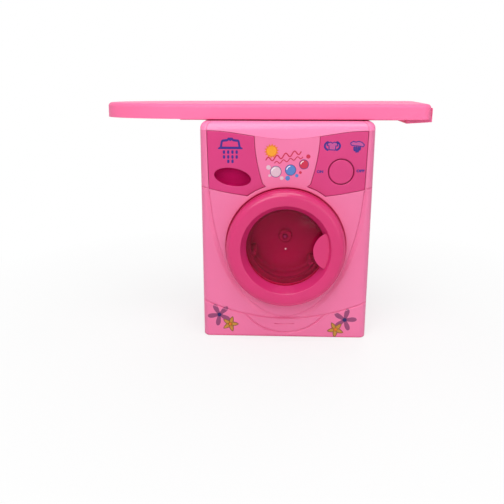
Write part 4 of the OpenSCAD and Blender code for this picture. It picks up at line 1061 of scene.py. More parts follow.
# A notch in the ring's left edge clears the hinge lugs.
NOTCH_HALF = LUG_HALF + 1.5
notch_low = Vector((-RING_R - 1, HINGE_Y - KNUCKLE_R - 1, DOOR_Z - NOTCH_HALF))
notch_high = Vector((HINGE_X + KNUCKLE_R + 1, FRONT_Y - RING_REAR + 1, DOOR_Z + NOTCH_HALF))
notch = bmesh.new()
bmesh.ops.create_cube(notch, size=1)
for v in notch.verts:
    v.co = ((notch_low + notch_high) / 2 + v.co * (notch_high - notch_low)) * MM
notch = new_object("notch", notch)
ring = new_object("carved", ring)
cutter = ring.modifiers.new("carve", "BOOLEAN")
cutter.operation, cutter.object, cutter.solver = "DIFFERENCE", notch, "EXACT"
ring = taken_mesh(ring)
bpy.data.objects.remove(notch)

knuckle_side = [(HINGE_X + 2.2, FRONT_Y - RING_OUT + 2)]
knuckle_side += [(HINGE_X + KNUCKLE_R * cos(radians(a)), HINGE_Y + KNUCKLE_R * sin(radians(a)))
                 for a in range(-56, 237, 12)]
knuckle_side += [(HINGE_X - 2.2, FRONT_Y - RING_OUT + 2)]
knuckle = thick_plate(knuckle_side, DOOR_Z - KNUCKLE_HALF, DOOR_Z + KNUCKLE_HALF, 0.4)
BOSS_PITCH_R, EAR_ANGLES = 60, (45, 135, 225, 315)
DOOR_SCREWS = [(BOSS_PITCH_R * cos(radians(a)), DOOR_Z + BOSS_PITCH_R * sin(radians(a)))
               for a in EAR_ANGLES]
bosses = [thick_plate(circle(x, z, 3.2, 24), FRONT_Y - 17, FRONT_Y - 2.5, 0.3, turn=upright)
          for x, z in DOOR_SCREWS]
door_ring = new_piece("ring_moulding", merged([ring, knuckle] + bosses), ring_plastic)
# The ring's outer edge, close to the bath's wall, gets a darker painted shade and a painted glow in
# deep red, so that the joint round the ring stays deep red.
ring_edge_glow_plastic = moulded_plastic("ring edge plastic with painted glow", (214, 48, 114), (206, 42, 107),
                                    (150, 4, 46), glow=0.35)
paint(door_ring, ring_edge_glow_plastic,
      lambda spot: from_axis(spot) > RING_R - 0.6 and spot.y > FRONT_Y - 1.0)
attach(door_ring, "door")
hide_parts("door_ring")

# Window: a shallow dome of clear styrene, tinted deep magenta, held by the back frame.
window_tint, tint, glass = new_material("magenta clear styrene")
where = add_node(tint, "ShaderNodeTexCoord").outputs["Object"]
haze = add_node(tint, "ShaderNodeTexNoise", Vector=where, Scale=60)
feed(glass, Base_Color=(0.74, 0.11, 0.35, 1), Transmission_Weight=1.0, IOR=1.2,
     Roughness=in_range(tint, haze.outputs["Fac"], 0.02, 0.09))
see = add_node(tint, "ShaderNodeBsdfTransparent", Color=(0.86, 0.66, 0.78, 1))
lamp_ray = add_node(tint, "ShaderNodeLightPath").outputs["Is Shadow Ray"]
either = add_node(tint, "ShaderNodeMixShader", {}, lamp_ray, glass.outputs["BSDF"],
                  see.outputs["BSDF"])
feed(tint.nodes["Material Output"], Surface=either.outputs["Shader"])

DOME_R, DOME_RISE, PANE_REAR, PANE_T = WINDOW_R - 0.5, 3.0, 4.35, 1.95
ball = (DOME_R ** 2 + DOME_RISE ** 2) / (2 * DOME_RISE)
pane = [(r, PANE_REAR + sqrt(ball * ball - r * r) - (ball - DOME_RISE)) for r in
        [0, 0.35, 0.7, 0.95, 1.1, 2.9, 3.1, 3.5, 3.9, 4.1, 5] + spread(0, DOME_R, 16, 2)]
GATE = (0.5, 0.45, 0.28, 0.08, 0, 0, -0.22, -0.32, -0.22, 0, 0)  # the mark of the gate
pane_back = [(r, d - PANE_T) for r, d in reversed(pane)]
pane = [(r, d + rise) for (r, d), rise in zip(pane, GATE)] + pane[len(GATE):]
pane += [(52.8, PANE_REAR), (53, PANE_REAR - 0.25), (53, 2.7), (52.8, 2.45)] + pane_back
window = new_piece("window_pane", turned_mesh(out(pane), closed=False), window_tint)
# The gate mark is pale pink: partly its own frosting, and partly a painted glint where a highlight
# sits on the mark.
frost_and_glint = moulded_plastic("frosted gate mark", (236, 190, 206), (226, 170, 190), (190, 90, 130),
                          rough=0.5)
paint(window, frost_and_glint, lambda spot: from_axis(spot) < 0.85 and spot.y < FRONT_Y - 7)
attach(window, "door")
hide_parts("door_window")

# Back frame: a flat ring with four screw ears and the catch, which clamps the window.
CATCH_X, CATCH_HALF, CATCH_T = 60.0, 5.0, 2.4
FRAME_R, EAR_R, FRAME_T = 57.0, 4.4, 2.4


def frame_edge(a):
    """Radius of the back frame's outer edge in one direction."""
    r = FRAME_R
    for ear in EAR_ANGLES:
        off = BOSS_PITCH_R * sin(radians(a - ear))
        if abs(off) < EAR_R and cos(radians(a - ear)) > 0:
            r = max(r, BOSS_PITCH_R * cos(radians(a - ear)) + sqrt(EAR_R ** 2 - off * off))
    catch_far = CATCH_X + CATCH_T / 2
    if cos(radians(a)) > 0 and abs(catch_far * math.tan(radians(a))) < CATCH_HALF:
        r = max(r, catch_far / cos(radians(a)))
    return r


frame_bm = bmesh.new()
inner, outer = [], []
for edge, level in ((0.35, 0), (0.1, 0.1), (0, 0.35), (0, 2.05), (0.1, 2.3), (0.35, 2.4)):
    inner.append([])
    outer.append([])
    for a in range(360):
        for row, r in (inner[-1], DOME_R + edge), (outer[-1], frame_edge(a) - edge):
            row.append(frame_bm.verts.new(
                Vector((r * cos(radians(a)), FRONT_Y - FRAME_T + level,
                        DOOR_Z + r * sin(radians(a)))) * MM))
join_rings(frame_bm, inner + outer[::-1], closed=True)
bmesh.ops.recalc_face_normals(frame_bm, faces=frame_bm.faces[:])
catch_root, catch_tip = FRONT_Y - CATCH_T / 2, WELL_FLOOR_Y + 3
catch_side = [(CATCH_X - 1.2, catch_root), (CATCH_X + 1.2, catch_root), (CATCH_X + 1.2, catch_tip),
              (CATCH_X + 0.7, catch_tip + 2.3), (CATCH_X - 0.7, catch_tip + 2.3),
              (CATCH_X - 1.2, catch_tip)]
catch = thick_plate(catch_side, DOOR_Z - CATCH_HALF, DOOR_Z + CATCH_HALF, 0.3)
back_frame = new_piece("window_frame", merged([frame_bm, catch]), ring_plastic)
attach(back_frame, "door")
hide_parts("door_back_frame")

# Finger plate: a D of the same plastic across the right of the cone.
HANDLE_R, HANDLE_X, HANDLE_Z, CONE_R = 24.0, 56.0, DOOR_Z - 1.4, 51.5
grip = [(x, z) for x, z in arc(HANDLE_X, HANDLE_Z, HANDLE_R, 90, 270, 60)
        if hypot(x, z - DOOR_Z) < CONE_R]
a0, a1 = (atan2(z - DOOR_Z, x) for x, z in (grip[-1], grip[0]))
grip += [(CONE_R * cos(a), DOOR_Z + CONE_R * sin(a)) for a in spread(a0, a1, 24, 1, 1)]
finger_plate = new_piece("finger_plate", thick_plate(
    soften(grip, 1.0), FRONT_Y - RING_OUT + 4.8, FRONT_Y - RING_OUT + 7.1, 0.7, turn=upright,
    steps=5), ring_plastic)
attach(finger_plate, "door")
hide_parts("door_handle")

# ---------------------------------------------------------------------------
# Ironing board: one long moulding, hollow below, with a tapering nose at the left.
# A rail with two pegs is screwed under it, and an iron rest under its right end.
# ---------------------------------------------------------------------------
BOARD_Z, BOARD_TOP, BOARD_X0, BOARD_X1, BOARD_HALF = 264.0, 281.3, -220.0, 164.5, 52.0
NOSE_X, NOSE_POWER, BOARD_CORNER, BOARD_ROLL, BOARD_WALL = -43.0, 2.5, 10.0, 4.6, 2.2
board_plastic = moulded_plastic("board pink plastic", (255, 121, 169), (251, 112, 161),
                                (226, 40, 108), rough=0.46, gleam=0.22)


def board_plan(inset):
    """The board's outline from above, made smaller all round by an inset."""
    half, corner = BOARD_HALF - inset, BOARD_CORNER - inset
    corner_x, span = BOARD_X1 - inset - corner, NOSE_X - (BOARD_X0 + inset)
    edge = [(x, half) for x in spread(corner_x, NOSE_X, 12, last=1)]
    edge += [(NOSE_X - span * t, half * sqrt(max(0, 1 - t ** NOSE_POWER)))
             for t in [sin(a) for a in spread(0, pi / 2, 44)]]
    return ([(x, -y) for x, y in edge] + edge[-2::-1] +
            arc(corner_x, half - corner, corner, 80, 0, 8) +
            arc(corner_x, corner - half, corner, 0, -80, 8))


board = bmesh.new()
levels = [(0.5, BOARD_Z), (0.15, BOARD_Z + 0.15), (0, BOARD_Z + 0.5), (0.05, BOARD_Z + 2),
          (0.3, BOARD_TOP - BOARD_ROLL)]
levels += [(0.3 + BOARD_ROLL * (1 - cos(a)), BOARD_TOP - BOARD_ROLL * (1 - sin(a)))
           for a in [radians(turn) for turn in range(10, 91, 10)]]
levels += [(BOARD_ROLL + 1.3, BOARD_TOP - 0.02), (9, BOARD_TOP - 0.1)]
board_rings = [[board.verts.new(Vector((x, y, z)) * MM) for x, y in board_plan(inset)]
               for inset, z in levels]
join_rings(board, board_rings)
board.faces.new(board_rings[-1])
bmesh.ops.recalc_face_normals(board, faces=board.faces[:])
top = max(board.faces, key=lambda f: f.calc_center_median().z)
if top.normal.z < 0:
    bmesh.ops.reverse_faces(board, faces=board.faces[:])
board_top = new_piece("board_moulding", board, board_plastic, wall=BOARD_WALL)
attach(board_top, "board")
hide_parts("ironing_board")

rail_lo, rail_hi = (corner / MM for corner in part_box("board_rail"))
RAIL_Z, RAIL_TOP, RAIL_HALF, PEG_R = 262.9, 265.9, 45, 4
rail_plan = soften([(rail_lo.x, -RAIL_HALF), (rail_hi.x, -RAIL_HALF), (rail_hi.x, RAIL_HALF),
                    (rail_lo.x, RAIL_HALF)], 4)
pegs = [thick_plate(circle(side * SOCKET_X, 0, PEG_R, 40), rail_lo.z, RAIL_Z + 1, 0.9)
        for side in (-1, 1)]
rail = new_piece("rail_moulding", merged([thick_plate(rail_plan, RAIL_Z, RAIL_TOP, 0.6)] + pegs),
                 board_plastic)
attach(rail, "board")
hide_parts("board_rail")

rest_lo, rest_hi = (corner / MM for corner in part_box("iron_rest"))
REST_WALL, REST_HALF = 2.1, 40
rest_side = [(rest_lo.x, BOARD_Z - 5.2), (rest_hi.x, BOARD_Z - 3.4), (rest_hi.x, BOARD_TOP - 4.5),
             (rest_hi.x - REST_WALL, BOARD_TOP - 4.5), (rest_hi.x - REST_WALL, BOARD_Z),
             (rest_lo.x, BOARD_Z)]
rest = new_piece("rest_moulding", thick_plate(soften(rest_side, 1.0), -REST_HALF, REST_HALF, 0.8,
                                              turn=upright), board_plastic)
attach(rest, "board")
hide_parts("iron_rest")

# ---------------------------------------------------------------------------
# Screws: zinc-plated pan heads with a cross recess. A tree sets one on each point
# of a list, along the way that the point's "drive" says.
# ---------------------------------------------------------------------------
screw_tree, given = tree_for("pan-head screws", {
    "Head Radius": "Float", "Head Height": "Float", "Shank Radius": "Float",
    "Shank Length": "Float", "Recess": "Float", "Finish": "Material"})


def times(value, by):
    return sum_of(screw_tree, "MULTIPLY", value, by)


def lifted(part, z):
    spot = add_node(screw_tree, "ShaderNodeCombineXYZ", Z=z)
    return add_node(screw_tree, "GeometryNodeTransform", Geometry=part,
                    Translation=spot.outputs[0]).outputs[0]


def boolean(how, *parts, **cut_from):
    node = add_node(screw_tree, "GeometryNodeMeshBoolean", {"operation": how, "solver": "EXACT"},
                    **cut_from)
    for part in parts:
        feed(node, Mesh_2=part)
    return node.outputs[0]


head_r, head_h = given["Head Radius"], given["Head Height"]
collar_h, crown_h = times(head_h, 0.55), times(head_h, 0.45)
collar = add_node(screw_tree, "GeometryNodeMeshCylinder", Vertices=28, Radius=head_r,
                  Depth=collar_h)
collar = lifted(lifted(collar.outputs["Mesh"], times(collar_h, -0.5)), times(crown_h, -1))
crown = add_node(screw_tree, "GeometryNodeMeshCone", Vertices=28, Radius_Bottom=head_r,
                 Radius_Top=times(head_r, 0.68), Depth=crown_h)
crown = lifted(crown.outputs["Mesh"], times(crown_h, -1))
shank = add_node(screw_tree, "GeometryNodeMeshCylinder", Vertices=20,
                 Radius=given["Shank Radius"], Depth=given["Shank Length"])
shank = lifted(lifted(shank.outputs["Mesh"], times(given["Shank Length"], -0.5)),
               times(head_h, -0.9))
slots = []
for wide, deep in ((1.1, 0.26), (0.26, 1.1)):
    size = add_node(screw_tree, "ShaderNodeCombineXYZ", X=times(head_r, wide),
                    Y=times(head_r, deep), Z=times(given["Recess"], 2))
    slots.append(add_node(screw_tree, "GeometryNodeMeshCube", Size=size.outputs[0]).outputs["Mesh"])
drilled = boolean("DIFFERENCE", boolean("UNION", *slots),
                  Mesh_1=boolean("UNION", collar, crown, shank))
drive = add_node(screw_tree, "GeometryNodeInputNamedAttribute", {"data_type": "FLOAT_VECTOR"},
                 Name="drive")
aim = add_node(screw_tree, "FunctionNodeAlignRotationToVector", {"axis": "Z"},
               Vector=drive.outputs["Attribute"])
finish_tree(screw_tree, given, given["Geometry"], drilled, Rotation=aim.outputs[0])


def drive_screws(name, node, body, points, out_of, head_r, head_h, shank_r, shank_len):
    """Screws with their heads' tops at the points, facing out_of."""
    spots = bmesh.new()
    for p in points:
        spots.verts.new(Vector(p) * MM)
    obj = new_object(name, spots)
    ways = obj.data.attributes.new("drive", "FLOAT_VECTOR", "POINT")
    for way in ways.data:
        way.vector = out_of
    run_tree(obj, screw_tree, {
        "Head Radius": head_r * MM, "Head Height": head_h * MM, "Shank Radius": shank_r * MM,
        "Shank Length": shank_len * MM, "Recess": head_h * 0.6 * MM, "Finish": steel})
    bake_mesh(obj)
    obj.data.shade_smooth()
    obj.data.set_sharp_from_angle(angle=radians(30))
    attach(obj, body)
    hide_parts(node)


BACK, AHEAD, DOWN = (0, 1, 0), (0, -1, 0), (0, 0, -1)
drive_screws("case_screw_set", "case_screws", "cabinet",
             [(x, SPLIT_Y + 3 + 1.6, z) for x, z in CASE_POINTS], BACK, 2.8, 1.6, 1.4, 14)
drive_screws("cover_screw_set", "cover_screws", "cabinet",
             [(x, BACK_Y, z) for x, z in COVER_POINTS], BACK, 2.8, 1.6, 1.4, 5.2)
drive_screws("battery_lid_screw", "battery_door_screw", "cabinet",
             [(0, BACK_Y, 67.8)], BACK, 2.6, 1.4, 1.1, 9)
drive_screws("window_frame_screws", "door_screws", "door",
             [(x, FRONT_Y + 1.4, z) for x, z in DOOR_SCREWS], BACK, 2.4, 1.4, 1.1, 9.4)
drive_screws("hub_screw", "drum_screw", "drum",
             [(0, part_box("drum_screw")[0].y / MM, DOOR_Z)], AHEAD, 2.8, 1.6, 1.2, 9)
drive_screws("cam_screw", "dial_screw", "dial",
             [(DIAL_X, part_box("dial_screw")[1].y / MM, DIAL_Z)], BACK, 2.6, 1.4, 1.1, 7.2)
post_low, post_high = (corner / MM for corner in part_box("gearbox_screws"))
drive_screws("gearbox_screw_set", "gearbox_screws", "cabinet",
             [(x, post_low.y, z) for x in (post_low.x + 2.8, post_high.x - 2.8)
              for z in (post_low.z + 2.8, post_high.z - 2.8)], AHEAD, 2.8, 1.6, 1.4, 26)
strap_low, strap_high = (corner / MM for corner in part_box("strap_screws"))
drive_screws("strap_screw_pair", "strap_screws", "cabinet",
             [(x, strap_high.y, (strap_low.z + strap_high.z) / 2)
              for x in (strap_low.x + 2.1, strap_high.x - 2.1)], BACK, 2.1, 1.2, 1.1, 3.2)
drive_screws("board_screw_set", "board_screws", "board",
             [(x, y, RAIL_Z + 0.2) for x in (-90, 100) for y in (-25, 25)] +
             [(rest_lo.x + 12, y, BOARD_Z - 3) for y in (-28, 28)], DOWN, 2.6, 1.4, 1.2, 8)

# ---------------------------------------------------------------------------
# Printed signs: ink pads stamped on the panels, each a skin 0.06 mm thick. They are
# plain signs of a wash programme, with ON and OFF beside the dial.
# ---------------------------------------------------------------------------
INK_LIFT, INK_T, INK_ROUGH = 0.015, 0.06, 0.35


def ink(name, colour):
    """Pad-printing ink: one tone, mottled a little where the pad laid it thinner."""
    mat, tree, shader = new_material(name)
    where = add_node(tree, "ShaderNodeTexCoord").outputs["Object"]
    mottle = add_node(tree, "ShaderNodeTexNoise", Vector=where, Scale=700).outputs["Fac"]
    feed(shader, Base_Color=two_tones(tree, mottle, plain(colour, 0.82), plain(colour)),
         Roughness=in_range(tree, mottle, INK_ROUGH - 0.05, INK_ROUGH + 0.1))
    return mat


def flat_panel(_s, _z):
    """The relief of a control panel, which has none."""
    return 0.0


def ink_skin(outline, pitch=1.2, holes=(), layer=0, relief=face_relief):
    """A thin skin of ink inside an outline, laid on the face's relief. layer counts the
    skins that lie below it."""
    dots, z = [], min(p[1] for p in outline) + pitch * 0.6
    while z < max(p[1] for p in outline):
        x = min(p[0] for p in outline) + pitch * 0.6
        while x < max(p[0] for p in outline):
            if inside(outline, x, z) and line_gap(outline, x, z) > pitch * 0.35:
                dots.append((x, z))
            x += pitch
        z += pitch
    lift = INK_LIFT + (layer + 1) * INK_T
    return cut_sheet([outline] + list(holes), [], dots,
                     lambda x, z: inside(outline, x, z) and not any(inside(h, x, z) for h in holes),
                     lambda s, z: shell_point(s, z, relief(s, z) + lift))


def stroke(points, width):
    """Outline of a pen stroke with round ends, through the points."""
    line, r = [Vector(p) for p in points], width / 2
    sides = [[], []]
    for i, p in enumerate(line):
        way = line[min(i + 1, len(line) - 1)] - line[max(i - 1, 0)]
        n = Vector((-way.y, way.x)).normalized() * r
        sides[0].append(tuple(p + n))
        sides[1].append(tuple(p - n))
    ahead, back = line[-1] - line[-2], line[1] - line[0]
    caps = [[tuple(end + Vector((cos(t), sin(t))) * r) for t in
             [atan2(way.y, way.x) + turn - pi * k / 6 for k in range(1, 6)]]
            for end, way, turn in ((line[-1], ahead, pi / 2), (line[0], back, -pi / 2))]
    return sides[0] + caps[0] + sides[1][::-1] + caps[1]


def stamp(name, skins, material):
    """Joins skins of ink into one printed piece on the cabinet."""
    piece = new_piece(name, merged(skins), material, wall=INK_T)
    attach(piece, "cabinet")
    return piece


sign_ink = ink("violet blue ink", (46, 16, 130))
SHOWER_X = -64.9
signs, fills = [], []
hood = [(14.6, 231.6), (13.6, 233.2), (11.9, 234.2), (10.7, 240.6), (9.3, 242.4), (3.6, 243.0),
        (2.6, 244.6)]
clear = [(9.4, 234.4), (8.5, 239.8), (3.4, 240.4), (1.6, 241.6)]
hood = [(SHOWER_X + x, z) for x, z in [(-14.6, 231.6)] + hood + mirrored(hood[1:])]
clear = [(SHOWER_X + x, z) for x, z in [(-9.4, 234.4)] + clear + [(0, 240.6)] + mirrored(clear[1:])]
signs.append(ink_skin(soften(hood, 0.5), 1.4, [soften(clear, 0.4)], relief=flat_panel))

# The drops below the hood: the tree draws one round-ended bar and sets it on each place.
drop_tree, given = tree_for("drops of the shower sign", {
    "Width": "Float", "Height": "Float", "Finish": "Material"})
bar = add_node(drop_tree, "GeometryNodeCurvePrimitiveQuadrilateral", Width=given["Width"],
               Height=given["Height"])
round_bar = add_node(drop_tree, "GeometryNodeFilletCurve", Curve=bar.outputs[0],
                     Radius=sum_of(drop_tree, "MULTIPLY", given["Width"], 0.42))
if "Mode" in round_bar.inputs:
    round_bar.inputs["Mode"].default_value = "Poly"
else:
    round_bar.mode = "POLY"
feed(round_bar, Count=4)
filled = add_node(drop_tree, "GeometryNodeFillCurve", Curve=round_bar.outputs[0])
finish_tree(drop_tree, given, given["Geometry"], filled.outputs[0])
drop_spots = bmesh.new()
for z, columns in (228.2, (-7.3, -2.45, 2.45, 7.3)), (222.7, (-7.3, -2.45, 2.45, 7.3)), \
        (217.6, (-2.45, 2.45)):
    for column in columns:
        drop_spots.verts.new(((SHOWER_X + column) * MM, z * MM, 0))
drops = grown_by_tree("drops", drop_spots, drop_tree, Width=2.6 * MM, Height=4.1 * MM,
                      Finish=sign_ink)


def lay_flat(bm, layer=0, relief=flat_panel):
    """Lays a flat drawing (x, z) on the front, over its relief."""
    for v in bm.verts:
        s, z = v.co.x / MM, v.co.y / MM
        v.co = shell_point(s, z, relief(s, z) + INK_LIFT + (layer + 1) * INK_T)
    bmesh.ops.recalc_face_normals(bm, faces=bm.faces[:])
    for f in bm.faces:
        if f.normal.y > 0:
            f.normal_flip()
    return bm


def outlined(drawing, cx, cz):
    """Draws a closed sign in a line of ink, with a pale fill inside it."""
    drawing = [(cx + x, cz + z) for x, z in drawing]
    edge, hole = grown(drawing, SIGN_LINE / 2), grown(drawing, -SIGN_LINE / 2)
    signs.append(ink_skin(edge, holes=[hole], relief=flat_panel))
    fills.append(ink_skin(hole, relief=flat_panel))


signs.append(lay_flat(drops))

# Shirt between two turning arrows, for a wash, and a basin with falling water.
WASH_X, WASH_Z, BASIN_X, BASIN_Z, SIGN_LINE = 51.3, 235.6, 79.4, 236.4, 1.1
outlined([(-5.2, 3.2), (-2.2, 4.4), (0, 3.2), (2.2, 4.4), (5.2, 3.4), (6.0, 0.2), (3.8, 0.0),
          (3.6, -4.6), (-3.6, -4.2), (-3.8, 0.2), (-6.0, 0.6)], WASH_X, WASH_Z)
for side in (-1, 1):
    bow = [(WASH_X + side * 8.6 * cos(radians(a)), WASH_Z + 5.6 * sin(radians(a)))
           for a in range(-52, 53, 8)]
    signs.append(ink_skin(stroke(bow, 2.3), relief=flat_panel))
outlined(soften([(-8.0, 2.6), (-4.4, 4.6), (-1.6, 3.6), (1.4, 4.6), (5.0, 3.6), (8.2, 0.6),
                 (6.6, -1.6), (1.8, -0.6), (-3.0, -0.4), (-6.6, 0.2)], 1.2), BASIN_X, BASIN_Z)
for x, low in ((-4.2, -5.6), (-1.4, -7.2), (1.4, -7.0), (4.0, -5.0)):
    fall = [(BASIN_X + x * 0.8, BASIN_Z - 2.2), (BASIN_X + x * 0.8, BASIN_Z + low / 2 - 1.6),
            (BASIN_X + x * 0.7, BASIN_Z + low)]
    signs.append(ink_skin(stroke(fall, 2.1), relief=flat_panel))

WORD_BOLD = 0.055


def word(text, x, z, wide, high):
    """A word as a flat drawing, centred, at a given width and height."""
    curve = bpy.data.curves.new("word", "FONT")
    curve.body, curve.offset = text, WORD_BOLD
    obj = bpy.data.objects.new("word", curve)
    bpy.context.scene.collection.objects.link(obj)
    mesh = bpy.data.meshes.new_from_object(obj.evaluated_get(bpy.context.evaluated_depsgraph_get()))
    bpy.data.objects.remove(obj)
    bm = bmesh.new()
    bm.from_mesh(mesh)
    (x0, x1), (y0, y1) = [(min(v.co[k] for v in bm.verts), max(v.co[k] for v in bm.verts))
                          for k in (0, 1)]
    for v in bm.verts:
        v.co = Vector((x + ((v.co.x - x0) / (x1 - x0) - 0.5) * wide,
                       z + ((v.co.y - y0) / (y1 - y0) - 0.5) * high, 0)) * MM
    bmesh.ops.remove_doubles(bm, verts=bm.verts[:], dist=1e-7)
    return lay_flat(bm)


signs += [word("ON", 38.2, 206.4, 7.4, 3.3), word("OFF", 84.4, 207.5, 9.4, 3.3)]
stamp("panel_signs", signs, sign_ink)
stamp("sign_fills", fills, ink("lilac ink", (196, 72, 146)))

# ---------------------------------------------------------------------------
# Picture between the panels: a plain star, a wavy ribbon and soap bubbles, printed
# in seven inks.
# ---------------------------------------------------------------------------
gold_ink, orange_ink = ink("gold ink", (246, 160, 24)), ink("orange ink", (232, 120, 28))
red_ink, blue_ink = ink("red ink", (206, 24, 70)), ink("sky blue ink", (84, 128, 200))
pearl_ink, navy_ink = ink("pearl ink", (226, 190, 205)), ink("navy ink", (44, 40, 120))


def star(cx, cz, r, inner, tips, first):
    return [(cx + (inner if k % 2 else r) * cos(radians(first + 180 * k / tips)),
             cz + (inner if k % 2 else r) * sin(radians(first + 180 * k / tips)))
            for k in range(2 * tips)]


def wave(x0, x1, base, rise, size, turns, width):
    """A ribbon's outline: a sine wave about a sloping line."""
    return stroke([(x0 + (x1 - x0) * t, base + rise * t + size * sin(2 * pi * turns * t))
                   for t in spread(0, 1, 72)], width)


SUN_X, SUN_Z = -17.6, 229.6
stamp("picture_star_edge", [ink_skin(star(SUN_X, SUN_Z, 8.6, 6.2, 14, 8), 1.5)], orange_ink)
stamp("picture_star", [ink_skin(circle(SUN_X, SUN_Z, 5.4, 36), 1.5, layer=1)], gold_ink)
stamp("picture_ribbon", [ink_skin(wave(-24, 16, 219.4, 9.5, 2.5, 4, 1.3), layer=2),
                         ink_skin(wave(-14, 18, 216.0, 7.0, 1.5, 4, 1.0), layer=2)], red_ink)
BUBBLES = [("pearl", pearl_ink, ((-12.6, 206.0, 6.6), (-21.0, 210.8, 2.6), (-5.6, 198.6, 2.2),
                                 (-19.6, 201.4, 1.6))),
           ("blue", blue_ink, ((4.4, 208.0, 6.4), (1.2, 198.6, 2.8), (11.6, 201.6, 2.0))),
           ("red", red_ink, ((19.6, 214.6, 5.6), (24.4, 223.6, 2.4), (15.8, 205.2, 1.6)))]
RIM_W, SHINE_IN = 0.6, 2
rims, shines = [], []
for colour, bubble_ink, places in BUBBLES:
    stamp("picture_bubble_" + colour, [ink_skin(circle(x, z, r, 40), 1.4) for x, z, r in places],
          bubble_ink)
    x, z, r = places[0]
    rims.append(ink_skin(circle(x, z, r, 48), 1.4, [circle(x, z, r - RIM_W, 48)], layer=1))
    shines.append(ink_skin(stroke(arc(x, z, r - SHINE_IN, 100, 170, 7), 1.0), 1, layer=1))
stamp("picture_bubble_rims", rims, navy_ink)
stamp("picture_bubble_shines", shines, ink("white ink", (250, 240, 246)))

# ---------------------------------------------------------------------------
# Flowers at the foot: four five-petal flowers printed on the kick plate. One petal
# is drawn for each kind, and the tree sets it round the middle.
# ---------------------------------------------------------------------------
purple_ink, centre_ink = ink("purple ink", (150, 62, 112)), ink("dark blue ink", (28, 0, 92))
petal_gold, outline_ink = ink("yellow ink", (196, 138, 44)), ink("brown ink", (124, 78, 34))
PETAL_ROOT, PETAL_COUNT = 0.6, 5


def petal(length, width, waist, full=0.62, blunt=0.5):
    """A petal along +X: its root is a waist wide, and it is widest part of the way out."""
    line = []
    for t in spread(0, 1, 24):
        w = waist + (width - waist) * smooth(min(t / full, 1))
        if t > full:
            w *= max(1 - ((t - full) / (1 - full)) ** 2, 0) ** blunt
        line.append((PETAL_ROOT + (length - PETAL_ROOT) * t, w / 2))
    return [(x, -w) for x, w in line] + [(x, w) for x, w in reversed(line) if w > 0.05]


def flowers(spots, outline, finish, layer):
    """Flowers of one kind, at places that say which way a petal points."""
    made = []
    for cx, cz, first in spots:
        flat = cut_sheet([outline], [], [(1.1 * i, z) for i in range(1, 16)
                                         for z in (-2.2, -1.1, 0, 1.1, 2.2)
                                         if inside(outline, 1.1 * i, z)],
                         lambda x, z: inside(outline, x, z), lambda x, z: Vector((x, 0, z)) * MM)
        flat = grown_by_tree("petals", flat, lifter_tree, Count=PETAL_COUNT,
                             First_Angle=-radians(first), Finish=finish)
        for v in flat.verts:
            v.co = Vector((v.co.x + cx * MM, v.co.z + cz * MM, 0))
        made.append(lay_flat(flat, layer, face_relief))
    return made


def centres(spots, r, layer):
    return [ink_skin(circle(x, z, r, 24), 1, layer=layer) for x, z, _ in spots]


PURPLE = [(73.9, 24.0, 3), (-80.3, 28.4, 45)]
YELLOW = [(63.1, 11.1, 48), (-67.0, 16.3, 0)]
stamp("purple_petals", flowers(PURPLE, petal(14.8, 5.9, 3.6), purple_ink, 0), purple_ink)
stamp("purple_centres", centres(PURPLE, 2.5, 1), centre_ink)
stamp("yellow_outlines", flowers(YELLOW, petal(10.6, 5.6, 5.4, 0.3, 0.8), outline_ink, 1),
      outline_ink)
stamp("yellow_petals", flowers(YELLOW, petal(9.4, 4.0, 3.8, 0.3, 0.8), petal_gold, 2), petal_gold)
stamp("yellow_centres", centres(YELLOW, 1.9, 3), orange_ink)

# ---------------------------------------------------------------------------
# Studio: a pale floor, soft lamps on both sides and above, and the camera.
# ---------------------------------------------------------------------------
floor_mesh = bpy.data.meshes.new("floor")
floor_mesh.from_pydata([(-6, -6, 0), (6, -6, 0), (6, 6, 0), (-6, 6, 0)], [], [(0, 1, 2, 3)])
floor = bpy.data.objects.new("floor", floor_mesh)
bpy.context.scene.collection.objects.link(floor)


def seen_ray(tree, *kinds):
    """1 for a ray of one of these kinds, and else 0."""
    ray = add_node(tree, "ShaderNodeLightPath").outputs
    found = ray[kinds[0]]
    for kind in kinds[1:]:
        found = sum_of(tree, "MAXIMUM", found, ray[kind])
    return found


# The floor is white to the eye, a little greyer below the part, and matte to the lamps.
floor_mat, ft, paper = new_material("pale floor")
feed(paper, Base_Color=(0.86, 0.86, 0.86, 1), Roughness=0.7)
glow = add_node(ft, "ShaderNodeEmission", Color=(1, 1, 1, 1))
seen = seen_ray(ft, "Is Camera Ray", "Is Glossy Ray", "Is Transmission Ray")
away = add_node(ft, "ShaderNodeVectorMath", {"operation": "LENGTH"},
                add_node(ft, "ShaderNodeTexCoord").outputs["Object"])
fade = in_range(ft, away.outputs["Value"], 0.72, 1.0, From_Min=0.1, From_Max=0.55)
both = add_node(ft, "ShaderNodeMixShader", {}, sum_of(ft, "MULTIPLY", seen, fade),
                paper.outputs["BSDF"], glow.outputs["Emission"])
feed(ft.nodes["Material Output"], Surface=both.outputs["Shader"])
floor_mesh.materials.append(floor_mat)

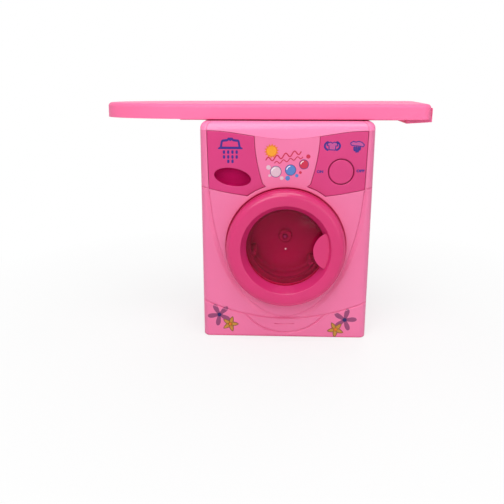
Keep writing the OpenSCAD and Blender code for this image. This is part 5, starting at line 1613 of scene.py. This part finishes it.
world = bpy.data.worlds.new("studio")
bpy.context.scene.world = world
world.use_nodes = True
sky = world.node_tree
dim = feed(sky.nodes["Background"], Color=(1, 1, 1, 1), Strength=0.33)
white = add_node(sky, "ShaderNodeBackground", Color=(1, 1, 1, 1), Strength=1.0)
mixer = add_node(sky, "ShaderNodeMixShader", {},
                 seen_ray(sky, "Is Glossy Ray", "Is Transmission Ray", "Is Camera Ray"),
                 dim.outputs["Background"], white.outputs["Background"])
feed(sky.nodes["World Output"], Surface=mixer.outputs["Shader"])


def soft_lamp(name, place, aim, size, power):
    lamp = bpy.data.lights.new(name, "AREA")
    lamp.shape, lamp.size, lamp.energy = "SQUARE", size, power
    obj = bpy.data.objects.new(name, lamp)
    obj.location = place
    obj.rotation_euler = (Vector(aim) - Vector(place)).to_track_quat("-Z", "Y").to_euler()
    bpy.context.scene.collection.objects.link(obj)
    return obj


soft_lamp("key lamp", (-0.35, -1.1, 0.95), (0, 0, 0.15), 0.8, 7.2)
soft_lamp("fill lamp", (0.55, -1.25, 0.35), (0, 0, 0.13), 0.8, 2.2)
back_lamp = soft_lamp("back lamp", (0.35, 1.3, 0.7), (0, 0.05, 0.15), 0.9, 7)
back_lamp.visible_glossy = False
soft_lamp("top lamp", (0.05, -0.45, 1.4), (0, 0, 0.15), 0.8, 8)

SENSOR_W, VIEW_W, VIEW_FOCAL = 36, 504, 609.3
camera = bpy.data.cameras.new("camera")
camera.sensor_width, camera.lens = SENSOR_W, VIEW_FOCAL / VIEW_W * SENSOR_W
cam = bpy.data.objects.new("camera", camera)
bpy.context.scene.collection.objects.link(cam)
yaw, pitch = radians(2.46), radians(16)
right = Vector((cos(yaw), sin(yaw), 0))
ahead = Vector((-sin(yaw) * cos(pitch), cos(yaw) * cos(pitch), -sin(pitch)))
up = right.cross(ahead)
cam.matrix_world = Matrix(((right.x, up.x, -ahead.x, -0.0099), (right.y, up.y, -ahead.y, -0.7661),
                           (right.z, up.z, -ahead.z, 0.3106), (0, 0, 0, 1)))
bpy.context.scene.camera = cam
bpy.context.scene.view_settings.view_transform = "Standard"
